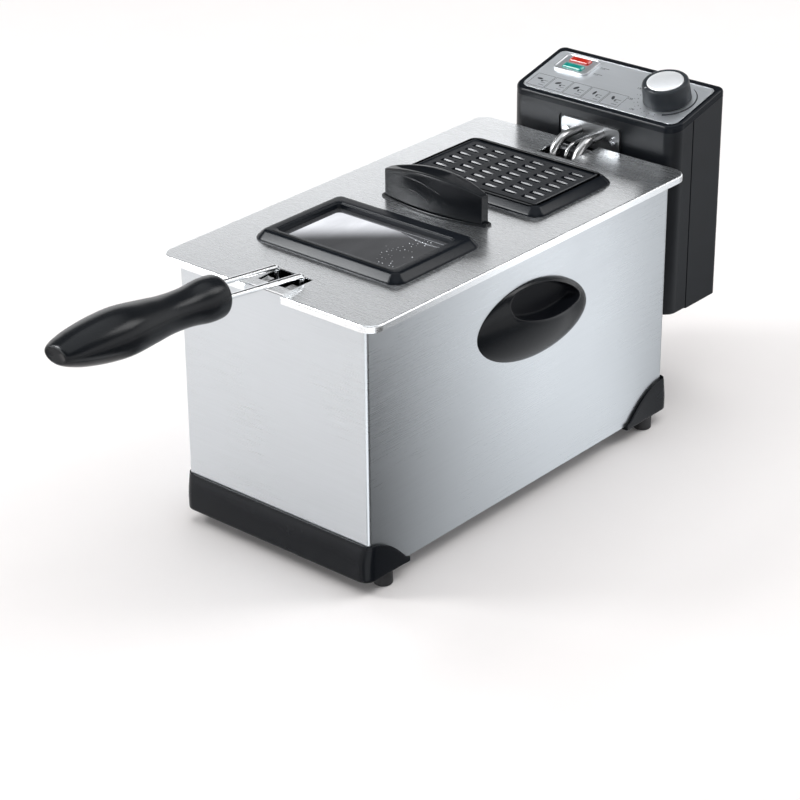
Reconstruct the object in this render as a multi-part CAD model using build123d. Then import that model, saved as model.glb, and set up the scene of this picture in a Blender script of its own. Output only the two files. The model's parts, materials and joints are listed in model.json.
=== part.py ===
from build123d import *
import math
import os

# Electric deep fryer with a lift-out oil tank, basket and control unit.
# Millimetres, +Z up, front (basket handle) towards -Y, control unit towards +Y.
# The working coordinates below have y = 0 at the casing's front face and z = 0 on the worktop.
# save() moves every part so that y = 0 falls at the middle of the whole object.

# ---------------------------------------------------------------- driving dimensions
FOOT_H = 10.7                     # rubber feet, worktop to plinth
FOOT_R = 6.8
CASING_W = 170.0                  # steel casing, width, length, lower and upper edge
CASING_L = 340.0
CASING_Z0 = 13.5
CASING_Z1 = 203.0
CASING_R = 3.0                    # its upright corners
SHEET = 0.8                       # steel sheet thickness
GAP = 0.4                         # clearance between parts that lift apart

LID_HALF = 97.0                   # lid, half width, front and rear edge, top face, rim height
LID_Y0 = -7.7
LID_Y1 = 346.5
LID_TOP = 206.7
LID_RIM = 5.1
LID_R = 11.3

TANK_HALF = 77.0                  # oil tank, outside half width, front, rear and floor
TANK_Y0 = 8.0
TANK_Y1 = 332.0
TANK_Z0 = 80.0
TANK_R = 18.0
TANK_BEAD = 205.3                 # top of the tank's rolled rim

BASKET_HALF = 64.0                # frying basket at its rim, front, rear, floor and rim height
BASKET_Y0 = 30.0
BASKET_Y1 = 300.0
BASKET_Z0 = 112.0
BASKET_Z1 = 186.0
BASKET_TAPER = 5.0
BASKET_WALL = 1.8

HOUSING_HALF = 77.3               # control unit, half width, front, rear, underside
HOUSING_Y0 = 356.5
HOUSING_Y1 = 421.6
HOUSING_Z0 = 79.5
HOUSING_TOP = 232.1               # height of its top at the front edge
TILT = 13.8                       # slope of the top, rising to the rear, degrees
HOUSING_R_FRONT = 11.3
HOUSING_R_REAR = 6.0
SHELL = 2.4
SEAM_Y = 379.0                    # joint between the front and rear shells
COVER_T = 5.0                     # thickness of the top cover

KNOB_X = 46.5                     # thermostat knob, place across the panel and up its slope
KNOB_S = 33.3
KNOB_R = 18.5
KNOB_H = 15.6
SHAFT_R = 3.0
RUNNING = 0.05                    # radial clearance of turning and sliding fits

FRAME_HALF = 67.0                 # window and vent frames on the lid
FRAME_LEN = 92.5
FRAME_H = 6.2
FRAME_SLOPE = 5.8
WINDOW_Y0 = 52.5
VENT_Y0 = 204.5

TUBE_R = 3.4                      # heating tube, pitch of its two ends, height at the plate
TUBE_X = 10.8
TUBE_Z = 212.5
LEG_Y = 322.0                     # where the tubes stand upright in the tank
PLATE_HALF = 27.2
PLATE_Z0 = 200.0
PLATE_Z1 = 219.8
PLATE_Y = 355.4

ROD_R = 1.95                      # basket handle rods
ROD_X = 11.3
HOOK_Y = 20.0
ROD_IN = 14.0                     # how far the rods run into the grip
ROD_Z = 211.2                     # rod height at the hooks
ROD_SLOPE = 6.7
GRIP_Y = -47.5                    # front end of the rods: the grip's collar face
GRIP_Z = 216.85
GRIP_SLOPE = 3.6
GRIP_LEN = 142.5
GRIP_END_R = 4.7                  # half height of its small flat end

GLAND_PROUD = 3.0                 # flange of the cord gland behind the housing

CARRY_Y = 173.0                   # carrying grips on the casing's sides: middle, half length,
CARRY_Z = 148.3                   # half height, height of the dome and tilt
CARRY_A = 58.0
CARRY_B = 27.6
CARRY_OUT = 14.0
CARRY_TILT = -6.0

GRIP_ANGLE = math.radians(GRIP_SLOPE)
GRIP_TIP_Y = GRIP_Y - GRIP_LEN * math.cos(GRIP_ANGLE) - GRIP_END_R * math.sin(GRIP_ANGLE)
MID_Y = (GRIP_TIP_Y + HOUSING_Y1 + GLAND_PROUD) / 2

CASING_HALF = CASING_W / 2
PLINTH_OUT = 2.5                  # plinths stand this far out of the casing's sides
PLINTH_FRONT = 4.5                # in front of the casing, and behind it
PLINTH_REAR = 8.0
PLINTH_TOP = CASING_Z0 + 24.5
BASE_T = 1.2

SCREW_R = 1.6
HEAD_R = 3.0
HEAD_H = 1.8


# ---------------------------------------------------------------- helpers
ON_BASE = (Align.CENTER, Align.CENTER, Align.MIN)
UNDER_TOP = (Align.CENTER, Align.CENTER, Align.MAX)


def save(name, shape):
    export_step(Pos(0, -MID_Y, 0) * shape, f"parts/{name}.step")


def block(x0, x1, y0, y1, z0, z1):
    size = Box(x1 - x0, y1 - y0, z1 - z0)
    return Pos((x0 + x1) / 2, (y0 + y1) / 2, (z0 + z1) / 2) * size


def slab(half, y0, y1, z0, z1, radius):
    """Upright prism with rounded corners, centred on x = 0."""
    outline = RectangleRounded(2 * half, y1 - y0, radius)
    return Pos(0, (y0 + y1) / 2, z0) * extrude(outline, amount=z1 - z0)


def rod(start, end, radius):
    """Straight round bar between two points."""
    line = Line(start, end)
    return sweep(Plane(origin=line @ 0, z_dir=line % 0) * Circle(radius), path=line)


def bent_rod(points, radii, radius):
    """Round bar along straight runs joined by arcs."""
    path = FilletPolyline(*points, radius=radii)
    return sweep(Plane(origin=path @ 0, z_dir=path % 0) * Circle(radius), path=path)


def screw(x, y, z, direction, length):
    """Pan-head screw, its head's underside at the point and its shank along direction."""
    seat = Plane(origin=(x, y, z), z_dir=direction)
    shank = extrude(seat * Circle(SCREW_R), amount=length)
    head = extrude(seat * Circle(HEAD_R), amount=-HEAD_H)
    recess = Pos(0, 0, -HEAD_H) * Box(0.8, 3.6, 1.4)
    cross = Pos(0, 0, -HEAD_H) * Box(3.6, 0.8, 1.4)
    return shank + head - seat.location * recess - seat.location * cross


def screw_hole(x, y, z, direction, length):
    seat = Plane(origin=(x, y, z), z_dir=direction)
    return extrude(seat * Circle(SCREW_R + 0.05), amount=length)


# The sloping top panel: local x across, local y up the slope, local z out of the panel.
PANEL = Plane(
    origin=(0, HOUSING_Y0, HOUSING_TOP),
    x_dir=(1, 0, 0),
    z_dir=(0, -math.sin(math.radians(TILT)), math.cos(math.radians(TILT))),
).location
PANEL_LEN = (HOUSING_Y1 - HOUSING_Y0) / math.cos(math.radians(TILT))


def on_panel(x, s, height, shape):
    return PANEL * Pos(x, s, height) * shape


# ---------------------------------------------------------------- base
CARRY_SCREW_Y = (CARRY_Y - 38, CARRY_Y + 38)
CARRY_SCREW_Z = CARRY_Z - 10
GUIDE_SCREWS = ((-28, 105), (28, 105), (-28, 185), (28, 185))
FOOT_X = 80.0
FOOT_YS = (20.0, CASING_L - 16.0)
BASE_SCREW_X = 55.0
BASE_SCREW_YS = (8.0, CASING_L - 8.0)


def casing():
    outer = slab(CASING_HALF, 0, CASING_L, CASING_Z0, CASING_Z1, CASING_R)
    inner_r = CASING_R - SHEET
    inner = slab(CASING_HALF - SHEET, SHEET, CASING_L - SHEET, CASING_Z0 - 1, CASING_Z1 - SHEET, inner_r)
    mouth = slab(CASING_HALF - 5, 5, CASING_L - 5, CASING_Z0, CASING_Z1 + 1, 6)
    shell = outer - inner - mouth
    for side in (-1, 1):
        for y in CARRY_SCREW_Y:
            shell -= screw_hole(side * (CASING_HALF - 4), y, CARRY_SCREW_Z, (side, 0, 0), 8)
    for x, z in GUIDE_SCREWS:
        shell -= screw_hole(x, CASING_L - 4, z, (0, 1, 0), 8)
    return shell


def base_plate():
    inner_r = CASING_R - SHEET
    plate = slab(CASING_HALF - SHEET, SHEET, CASING_L - SHEET, CASING_Z0, CASING_Z0 + BASE_T, inner_r)
    for y in BASE_SCREW_YS:
        for side in (-1, 1):
            plate -= screw_hole(side * BASE_SCREW_X, y, CASING_Z0 - 4, (0, 0, 1), 8)
    for row in range(5):
        plate -= Pos(0, 130 + 20 * row, CASING_Z0) * extrude(SlotOverall(70, 4), amount=BASE_T)
    return plate


def plinth_outline(wing, reach):
    """Side view of the front plinth: curved face, quarter-arc wing, small toe."""
    front = Polyline((wing, FOOT_H), (-reach, FOOT_H), (-reach, FOOT_H + 12))
    face = SagittaArc((-reach, FOOT_H + 12), (-0.6, PLINTH_TOP), 1.6)
    sweep_arc = SagittaArc((-0.6, PLINTH_TOP), (wing - 4, CASING_Z0 + 2.6), 5.0)
    toe = Polyline((wing - 4, CASING_Z0 + 2.6), (wing, CASING_Z0 + 1), (wing, FOOT_H))
    return make_face(front + face + sweep_arc + toe)


def plinth(wing, reach):
    body = extrude(Plane.YZ * plinth_outline(wing, reach), amount=CASING_HALF + PLINTH_OUT, both=True)
    front_corners = body.edges().filter_by(Axis.Z).group_by(Axis.Y)[0]
    body = fillet(front_corners, 4.0)
    body -= slab(CASING_HALF, 0, CASING_L, CASING_Z0, PLINTH_TOP + 5, CASING_R)
    body -= block(-CASING_HALF + 22, CASING_HALF - 22, 12, wing + 1, FOOT_H - 1, CASING_Z0 + 1)
    for side in (-1, 1):
        body -= screw_hole(side * BASE_SCREW_X, BASE_SCREW_YS[0], FOOT_H - 1, (0, 0, 1), 10)
    return body


def front_plinth():
    return plinth(40.0, PLINTH_FRONT)


def rear_plinth():
    return Pos(0, CASING_L, 0) * Rot(0, 0, 180) * plinth(46.0, PLINTH_REAR)


def feet():
    group = []
    for y in FOOT_YS:
        for side in (-1, 1):
            foot = Cylinder(FOOT_R, FOOT_H, align=ON_BASE)
            foot = fillet(foot.edges().group_by(Axis.Z)[0], 1.2)
            group.append(Pos(side * FOOT_X, y, 0) * foot)
    return Compound(group)


def base_screws():
    group = []
    for y in BASE_SCREW_YS:
        for side in (-1, 1):
            group.append(screw(side * BASE_SCREW_X, y, FOOT_H, (0, 0, 1), CASING_Z0 + BASE_T - FOOT_H))
    return Compound(group)


CARRY_BACK = 1.2                  # thickness left behind the hand recess
WELL_A = 41.0                     # hand recess, half length, half height, middle and tilt
WELL_B = 13.0
WELL_Y = 9.6
WELL_Z = 12.0
WELL_TILT = -7.0


def carry_grip():
    """Right-hand carrying grip: an oval dome with a hand recess in its upper half."""
    dome = scale(Sphere(10), by=(CARRY_OUT / 10, CARRY_A / 10, CARRY_B / 10))
    pod = dome & block(0, 2 * CARRY_OUT, -CARRY_A - 5, CARRY_A + 5, -CARRY_B - 5, CARRY_B + 5)
    mouth = Plane.YZ * Pos(WELL_Y, WELL_Z) * Rot(0, 0, WELL_TILT) * Ellipse(WELL_A, WELL_B)
    pod -= Pos(CARRY_BACK, 0, 0) * extrude(mouth, amount=40)
    return Pos(CASING_HALF, CARRY_Y, CARRY_Z) * Rot(CARRY_TILT, 0, 0) * pod


def right_grip():
    pod = carry_grip()
    for y in CARRY_SCREW_Y:
        pod -= screw_hole(CASING_HALF - 1, y, CARRY_SCREW_Z, (1, 0, 0), 8)
    return pod


def left_grip():
    return mirror(right_grip(), about=Plane.YZ)


def grip_screws():
    group = []
    for side in (-1, 1):
        for y in CARRY_SCREW_Y:
            x = side * (CASING_HALF - SHEET)
            group.append(screw(x, y, CARRY_SCREW_Z, (side, 0, 0), 7))
    return Compound(group)


GUIDE_HALF = 40.0
GUIDE_Z0 = 90.0
GUIDE_Z1 = 196.0
TONGUE_HALF = 33.0
NECK_HALF = 22.0


def guide_channel():
    """Upright C-shaped channel on the casing's rear that the control unit slides down into."""
    back = block(-GUIDE_HALF, GUIDE_HALF, CASING_L, CASING_L + 2.5, GUIDE_Z0, GUIDE_Z1)
    sides = Sketch() + [
        Pos(side * (GUIDE_HALF - 1.5), CASING_L + 8) * Rectangle(3, 11) for side in (-1, 1)
    ] + [
        Pos(side * (GUIDE_HALF - 8), CASING_L + 12.25) * Rectangle(16, 2.5) for side in (-1, 1)
    ]
    rails = Pos(0, 0, GUIDE_Z0) * extrude(sides, amount=GUIDE_Z1 - GUIDE_Z0)
    stop = block(-GUIDE_HALF, GUIDE_HALF, CASING_L, CASING_L + 13.5, GUIDE_Z0, GUIDE_Z0 + 3)
    channel = back + rails + stop
    for x, z in GUIDE_SCREWS:
        channel -= screw_hole(x, CASING_L - 1, z, (0, 1, 0), 8)
    return channel


def guide_screws():
    group = [screw(x, CASING_L + 2.5, z, (0, -1, 0), 5) for x, z in GUIDE_SCREWS]
    return Compound(group)


# ---------------------------------------------------------------- oil tank
def oil_tank():
    outer = slab(TANK_HALF, TANK_Y0, TANK_Y1, TANK_Z0, CASING_Z1 + GAP, TANK_R)
    outer = fillet(outer.edges().group_by(Axis.Z)[0], 8)
    flange = slab(CASING_HALF - 1, 1, CASING_L - 1, CASING_Z1 + GAP, CASING_Z1 + GAP + SHEET, TANK_R - 6)
    bead = slab(CASING_HALF - 1, 1, CASING_L - 1, CASING_Z1 + GAP, TANK_BEAD, TANK_R - 6)
    bead -= slab(CASING_HALF - 2.4, 2.4, CASING_L - 2.4, CASING_Z1, TANK_BEAD + 1, TANK_R - 7.4)
    inner_r = TANK_R - SHEET
    inner = slab(TANK_HALF - SHEET, TANK_Y0 + SHEET, TANK_Y1 - SHEET, TANK_Z0 + SHEET, LID_TOP, inner_r)
    inner = fillet(inner.edges().group_by(Axis.Z)[0], 8 - SHEET)
    return outer + flange + bead - inner


# ---------------------------------------------------------------- control unit
def housing_outline(inset):
    sketch = Rectangle(2 * (HOUSING_HALF - inset), HOUSING_Y1 - HOUSING_Y0 - 2 * inset)
    sketch = fillet(sketch.vertices().group_by(Axis.Y)[0], HOUSING_R_FRONT - inset)
    return fillet(sketch.vertices().group_by(Axis.Y)[-1], HOUSING_R_REAR - inset)


def housing_prism(inset, z_low, depth):
    """Housing outline drawn in by inset, from z_low up to a plane that lies depth under the top."""
    prism = extrude(housing_outline(inset), amount=200)
    prism = Pos(0, (HOUSING_Y0 + HOUSING_Y1) / 2, z_low) * prism
    above = Box(300, 300, 200, align=ON_BASE)
    return prism - on_panel(0, PANEL_LEN / 2, -depth, above)


def control_shell():
    shell = housing_prism(0, HOUSING_Z0, COVER_T)
    shell -= housing_prism(SHELL, HOUSING_Z0 + SHELL, COVER_T - 1)
    return shell


RECESS_T = 1.1


def control_front_shell():
    shell = control_shell() & block(-100, 100, HOUSING_Y0 - 5, SEAM_Y, 0, 300)
    lower_edges = shell.edges().filter_by(GeomType.LINE).group_by(Axis.Z)[0].filter_by(Axis.X)
    shell = fillet(lower_edges.group_by(Axis.Y)[0], 2.0)
    surround = Pos(0, HOUSING_Y0 - 0.01, (PLATE_Z0 + PLATE_Z1) / 2 + 0.4) * Rot(-90, 0, 0) * extrude(
        RectangleRounded(2 * PLATE_HALF + 6.6, PLATE_Z1 - PLATE_Z0 + 4.4, 5), amount=RECESS_T
    )
    shell -= surround
    back = PLATE_Y + 2.1
    for x in (-TUBE_X, TUBE_X):
        shell -= rod((x, HOUSING_Y0 - 1, TUBE_Z), (x, HOUSING_Y0 + 6, TUBE_Z), TUBE_R + 0.2)
    shell -= rod((0, HOUSING_Y0 - 1, BULB_Z), (0, HOUSING_Y0 + 6, BULB_Z), BULB_R + 0.2)
    for x in PLATE_SCREW_X:
        shell -= screw_hole(x, back - 1, PLATE_SCREW_Z, (0, 1, 0), 6)
    neck = block(-NECK_HALF, NECK_HALF, CASING_L + 10, HOUSING_Y0, GUIDE_Z0 + 3 + GAP, GUIDE_Z1 - 6)
    tongue = block(-TONGUE_HALF, TONGUE_HALF, CASING_L + 5.3, CASING_L + 10, GUIDE_Z0 + 3 + GAP, GUIDE_Z1 - 6)
    shell += neck + tongue
    plunger_bore = rod((0, CASING_L, SWITCH_Z), (0, HOUSING_Y0 + 6, SWITCH_Z), PLUNGER_R + RUNNING)
    return shell - plunger_bore


SWITCH_Z = 175.0
PLUNGER_R = 2.5
BULB_R = 1.6
BULB_Z = 209.0
BULB_Y = 325.0
BULB_TOP = 127.0
SENSOR_R = 3.0
PLATE_SCREW_X = (-21.8, 21.8)
PLATE_SCREW_Z = 210.0
GLAND_R = 7.0
GLAND_Z = 100.0
GLAND_X = -45.0
RESET_X = 30.0
RESET_Z = 100.0
RESET_R = 4.0


def control_rear_shell():
    shell = control_shell() & block(-100, 100, SEAM_Y + 0.2, HOUSING_Y1 + 5, 0, 300)
    groove = control_shell() & block(-100, 100, SEAM_Y, SEAM_Y + 1.2, 0, 300)
    shell -= groove - housing_prism(0.8, HOUSING_Z0 - 1, 0)
    shell -= rod((GLAND_X, HOUSING_Y1 - 6, GLAND_Z), (GLAND_X, HOUSING_Y1 + 1, GLAND_Z), GLAND_R + 0.05)
    shell -= rod((RESET_X, HOUSING_Y1 - 6, RESET_Z), (RESET_X, HOUSING_Y1 + 1, RESET_Z), RESET_R + RUNNING)
    for x, z in HOUSING_SCREWS:
        shell -= screw_hole(x, HOUSING_Y1 - 6, z, (0, 1, 0), 8)
    for row in range(6):
        vent = Pos(0, HOUSING_Y1 - 1, 128 + 9 * row) * Box(60, 8, 3)
        shell -= vent
    return shell


HOUSING_SCREWS = ((-66, 92), (66, 92), (-66, 222), (66, 222))


def housing_screws():
    group = [screw(x, HOUSING_Y1, z, (0, -1, 0), 8) for x, z in HOUSING_SCREWS]
    return Compound(group)


FASCIA_X = (-71.7, 72.7)          # fascia, its two ends, front and rear margins, corner radii
FASCIA_FRONT = 4.6
FASCIA_REAR = 7.0
FASCIA_R_FRONT = 8.0
FASCIA_R_REAR = 4.5
FASCIA_T = 0.6
LAMP_X = -46.7
LAMP_W = 18.8
LAMP_D = 7.4
RED_S = 49.7
GREEN_S = 40.3
BEZEL_S = (RED_S + GREEN_S) / 2
BEZEL_X = -46.8
BEZEL_W = 32.5
BEZEL_D = 23.4
BEZEL_T = 2.2


def fascia_outline(inset):
    x0, x1 = FASCIA_X
    rear = PANEL_LEN - FASCIA_REAR
    plate = Rectangle(x1 - x0 - 2 * inset, rear - FASCIA_FRONT - 2 * inset)
    plate = fillet(plate.vertices().group_by(Axis.Y)[0], FASCIA_R_FRONT)
    plate = fillet(plate.vertices().group_by(Axis.Y)[-1], FASCIA_R_REAR)
    return Pos((x0 + x1) / 2, (FASCIA_FRONT + rear) / 2) * plate


def control_cover():
    cover = housing_prism(0, HOUSING_Z0, 0) - housing_prism(-1, HOUSING_Z0 - 1, COVER_T)
    top_edges = [e for e in cover.edges() if abs(panel_height(e @ 0.5)) < 0.05]
    cover = fillet(top_edges, 2.6)
    cover -= PANEL * Pos(0, 0, -FASCIA_T) * extrude(fascia_outline(0), amount=5)
    cover -= on_panel(KNOB_X, KNOB_S, -10, Cylinder(SHAFT_R + RUNNING, 30))
    for s in (RED_S, GREEN_S):
        cover -= on_panel(LAMP_X, s, -COVER_T / 2, Box(LAMP_W - 2, LAMP_D - 2, COVER_T + 2))
    return cover


def panel_height(point):
    return (PANEL.inverse() * Pos(*point)).position.Z


def panel_fascia():
    plate = PANEL * Pos(0, 0, -FASCIA_T) * extrude(fascia_outline(0.05), amount=FASCIA_T)
    plate -= on_panel(KNOB_X, KNOB_S, 0, Cylinder(SHAFT_R + 0.6, 10))
    opening = Box(LAMP_W - 1.9, LAMP_D - 1.9, 10)
    for s in (RED_S, GREEN_S):
        plate -= on_panel(LAMP_X, s, 0, opening)
    return plate


def lamp_bezel():
    bezel = extrude(RectangleRounded(BEZEL_W, BEZEL_D, 4.2), amount=BEZEL_T)
    bezel = chamfer(bezel.edges().group_by(Axis.Z)[-1], 0.5)
    bezel = on_panel(BEZEL_X, BEZEL_S, 0, bezel)
    for s in (RED_S, GREEN_S):
        bezel -= on_panel(LAMP_X, s, 0, Box(LAMP_W + 0.1, LAMP_D + 0.1, 10))
    return bezel


def lamp(s):
    lens = Box(LAMP_W, LAMP_D, 3.4, align=ON_BASE)
    lens = chamfer(lens.edges().group_by(Axis.Z)[-1], 1.6)
    stem = Pos(0, 0, -COVER_T - 8) * Box(LAMP_W - 2.2, LAMP_D - 2.2, COVER_T + 8, align=ON_BASE)
    return on_panel(LAMP_X, s, 0.0, lens + stem)


def red_lamp():
    return lamp(RED_S)


def green_lamp():
    return lamp(GREEN_S)


def thermostat_body():
    body = Pos(0, 0, -COVER_T - 22) * Cylinder(16, 21.5, align=ON_BASE)
    body -= Pos(0, 0, -COVER_T - 12) * Cylinder(SHAFT_R + RUNNING, 20, align=ON_BASE)
    tail = Pos(0, 0, -COVER_T - 27) * Box(14, 14, 5, align=ON_BASE)
    return on_panel(KNOB_X, KNOB_S, 0, body + tail)


def limit_cutout():
    body = Pos(RESET_X, HOUSING_Y1 - 22, RESET_Z) * Rot(90, 0, 0) * Cylinder(9, 14)
    back = HOUSING_Y1 - 28
    return body + block(RESET_X - 12, RESET_X + 12, back - 3, back, RESET_Z - 9, RESET_Z + 9)


def terminal_block():
    body = block(-28, 8, SEAM_Y + 6, SEAM_Y + 22, HOUSING_Z0 + SHELL, HOUSING_Z0 + SHELL + 18)
    for index in range(3):
        body -= Pos(-22 + 12 * index, SEAM_Y + 14, HOUSING_Z0 + SHELL + 16) * Cylinder(2.5, 6)
    return body


def cord_gland():
    """Bushed cord inlet in the rear wall; the bore takes a round cord."""
    seat = Plane(origin=(GLAND_X, HOUSING_Y1, GLAND_Z), z_dir=(0, 1, 0))
    flange = extrude(seat * Circle(GLAND_R + 2.5), amount=GLAND_PROUD)
    flange = fillet(flange.edges().group_by(Axis.Y)[-1], 1.2)
    neck = extrude(seat * Circle(GLAND_R), amount=-SHELL - 4)
    bore = extrude(seat * Circle(CORD_R), amount=30, both=True)
    return flange + neck - bore


CORD_R = 3.4


def microswitch():
    return block(-11, 11, HOUSING_Y0 + SHELL + 4, HOUSING_Y0 + SHELL + 12, SWITCH_Z - 9, SWITCH_Z + 9)


def switch_plunger():
    tip = CASING_L + 3.0
    pin = rod((0, tip, SWITCH_Z), (0, HOUSING_Y0 + SHELL + 1.2, SWITCH_Z), PLUNGER_R)
    return fillet(pin.edges().group_by(Axis.Y)[0], 0.8)


def reset_button():
    pin = rod((RESET_X, HOUSING_Y1 - 12, RESET_Z), (RESET_X, HOUSING_Y1 + 2.0, RESET_Z), RESET_R)
    return fillet(pin.edges().group_by(Axis.Y)[-1], 0.8)


def element_plate():
    plate = Pos(0, PLATE_Y, (PLATE_Z0 + PLATE_Z1) / 2) * Rot(-90, 0, 0) * extrude(
        RectangleRounded(2 * PLATE_HALF, PLATE_Z1 - PLATE_Z0, 3.2), amount=2.1
    )
    for x in (-TUBE_X, TUBE_X):
        plate -= rod((x, PLATE_Y - 2, TUBE_Z), (x, PLATE_Y + 4, TUBE_Z), TUBE_R + 0.02)
    plate -= rod((0, PLATE_Y - 2, BULB_Z), (0, PLATE_Y + 4, BULB_Z), BULB_R + 0.02)
    for x in PLATE_SCREW_X:
        plate -= screw_hole(x, PLATE_Y - 1, PLATE_SCREW_Z, (0, 1, 0), 6)
    return plate


def plate_screws():
    group = [screw(x, PLATE_Y, PLATE_SCREW_Z, (0, 1, 0), 6) for x in PLATE_SCREW_X]
    return Compound(group)


ELEMENT_Z = 97.0
LOOP_Y0 = 48.0
LOOP_Y1 = 268.0
LOOP_X = (16.0, 48.0)


def heating_element():
    """One tube: out of the plate, down both legs, and a flat serpentine over the tank's floor."""
    inner_x, outer_x = LOOP_X
    left = [
        (-TUBE_X, SEAM_Y, TUBE_Z),
        (-TUBE_X, LEG_Y, TUBE_Z),
        (-TUBE_X, LEG_Y, ELEMENT_Z),
        (-TUBE_X, LEG_Y - 22, ELEMENT_Z),
        (-outer_x, LOOP_Y1, ELEMENT_Z),
        (-outer_x, LOOP_Y0, ELEMENT_Z),
        (-inner_x, LOOP_Y0, ELEMENT_Z),
        (-inner_x, LOOP_Y1 - 20, ELEMENT_Z),
    ]
    right = [(-x, y, z) for x, y, z in reversed(left)]
    return bent_rod(left + right, ELEMENT_RADII + (15.5, 15.5) + tuple(reversed(ELEMENT_RADII)), TUBE_R)


ELEMENT_RADII = (18.0, 11.0, 11.0, 20.0, 15.5, 15.5)


def thermostat_bulb():
    """Thin capillary from the plate down to the sensor bulb in the tank."""
    bend = [(0, SEAM_Y, BULB_Z), (0, BULB_Y, BULB_Z), (0, BULB_Y, BULB_TOP)]
    capillary = bent_rod(bend, (10.0,), BULB_R)
    sensor = rod((0, BULB_Y, BULB_TOP), (0, BULB_Y, BULB_TOP - 22), SENSOR_R)
    return capillary + sensor


# ---------------------------------------------------------------- thermostat knob
def knob():
    body = Cylinder(KNOB_R, KNOB_H, align=ON_BASE)
    body = fillet(body.edges().group_by(Axis.Z)[-1], 1.6)
    body -= Pos(0, 0, KNOB_H - 0.8) * Cylinder(CAP_R + 0.05, 5, align=ON_BASE)
    body -= Cylinder(SHAFT_R, 8, align=ON_BASE)
    body -= Pos(0, 0, -0.01) * (Cylinder(KNOB_R - 2.5, 3, align=ON_BASE) - Cylinder(6, 10))
    return on_panel(KNOB_X, KNOB_S, 0.4, body)


CAP_R = 14.8
CAP_H = 2.44                      # of the knob's cap at its middle
DOME_R = 70.0


def knob_cap():
    """Domed bright disc set into the top of the knob."""
    disc = Cylinder(CAP_R, CAP_H, align=ON_BASE) & Pos(0, 0, CAP_H - DOME_R) * Sphere(DOME_R)
    return on_panel(KNOB_X, KNOB_S, 0.4 + KNOB_H - 0.8, disc)


def knob_shaft():
    shaft = Cylinder(SHAFT_R, COVER_T + 0.4 + 8 + 11, align=UNDER_TOP)
    return on_panel(KNOB_X, KNOB_S, 8.4, shaft)


# ---------------------------------------------------------------- basket
def basket_form(inset, z0, z1):
    """Tapering basket tub, drawn in by inset."""
    length = BASKET_Y1 - BASKET_Y0 - 2 * inset
    middle = (BASKET_Y0 + BASKET_Y1) / 2
    low = Pos(0, middle, z0) * RectangleRounded(
        2 * (BASKET_HALF - inset - BASKET_TAPER), length - 2 * BASKET_TAPER, 14
    )
    high = Pos(0, middle, z1) * RectangleRounded(2 * (BASKET_HALF - inset), length, 17)
    return loft([low, high])


def basket_mesh():
    tub = basket_form(0, BASKET_Z0, BASKET_Z1)
    return tub - basket_form(BASKET_WALL, BASKET_Z0 + BASKET_WALL, BASKET_Z1 + 0.01)


def basket_rim():
    outer = slab(BASKET_HALF + 2.0, BASKET_Y0 - 2, BASKET_Y1 + 2, BASKET_Z1 - 2, BASKET_Z1 + 2, 19)
    inner = slab(BASKET_HALF, BASKET_Y0, BASKET_Y1, BASKET_Z1 - 3, BASKET_Z1 + 3, 17)
    return outer - inner


SHELF_Z = 196.5


ARM_X = 11.0
ARM_W = 6.0
ARM_TOP = 205.6


def basket_bracket():
    """Bent strip on the basket's front: two rod holes, and two arms that hang on the tank's rim."""
    upright = block(-16, 16, BASKET_Y0 - 3.6, BASKET_Y0 - 2.1, BASKET_Z1 - 22, SHELF_Z + 1.5)
    shelf = block(-16, 16, 12.5, BASKET_Y0 - 2.1, SHELF_Z, SHELF_Z + 1.5)
    bracket = upright + shelf
    for x in (-ARM_X, ARM_X):
        bracket += block(x - ARM_W / 2, x + ARM_W / 2, 12.5, 14, SHELF_Z, ARM_TOP)
        bracket += block(x - ARM_W / 2, x + ARM_W / 2, 3.2, 14, ARM_TOP - 1.2, ARM_TOP)
    for x in (-ROD_X, ROD_X):
        bracket -= Pos(x, HOOK_Y, SHELF_Z) * Cylinder(ROD_R + 0.5, 10)
    return bracket


# ---------------------------------------------------------------- lid
SLOT_HALF = 15.5
SLOT_Y0 = 4.9
SLOT_Y1 = 26.6
NOTCH_HALF = 15.8
NOTCH_Y = 311.3


def lid_panel():
    outer = slab(LID_HALF, LID_Y0, LID_Y1, LID_TOP - LID_RIM, LID_TOP, LID_R)
    outer = fillet(outer.edges().group_by(Axis.Z)[-1], 1.2)
    y0 = LID_Y0 + 1.2
    y1 = LID_Y1 - 1.2
    inner = slab(LID_HALF - 1.2, y0, y1, LID_TOP - LID_RIM - 1, LID_TOP - 0.9, LID_R - 1.2)
    panel = outer - inner
    panel -= block(-SLOT_HALF, SLOT_HALF, SLOT_Y0, SLOT_Y1, LID_TOP - 10, LID_TOP + 5)
    panel -= block(-SLOT_HALF, SLOT_HALF + 2, LID_Y0 - 5, LID_Y0 + 5.5, LID_TOP - 10, LID_TOP - 0.9)
    panel -= block(-SLOT_HALF, SLOT_HALF + 2, LID_Y0 - 5, LID_Y0 + 4, LID_TOP - 10, LID_TOP + 5)
    panel -= block(-NOTCH_HALF, NOTCH_HALF, NOTCH_Y, LID_Y1 + 5, LID_TOP - 10, LID_TOP + 5)
    for y0 in (WINDOW_Y0, VENT_Y0):
        panel -= slab(FRAME_HALF - 12, y0 + 12, y0 + FRAME_LEN - 12, LID_TOP - 10, LID_TOP + 5, 4)
    for x in LID_SCREW_X:
        panel -= screw_hole(x, HANDLE_Y, LID_TOP - 4, (0, 0, 1), 8)
    return panel


HANDLE_Y = 173.0
LID_SCREW_X = (-28.0, 28.0)
OPEN_X = 53.0
OPEN_Y0 = 12.5
OPEN_Y1 = 76.5


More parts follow.
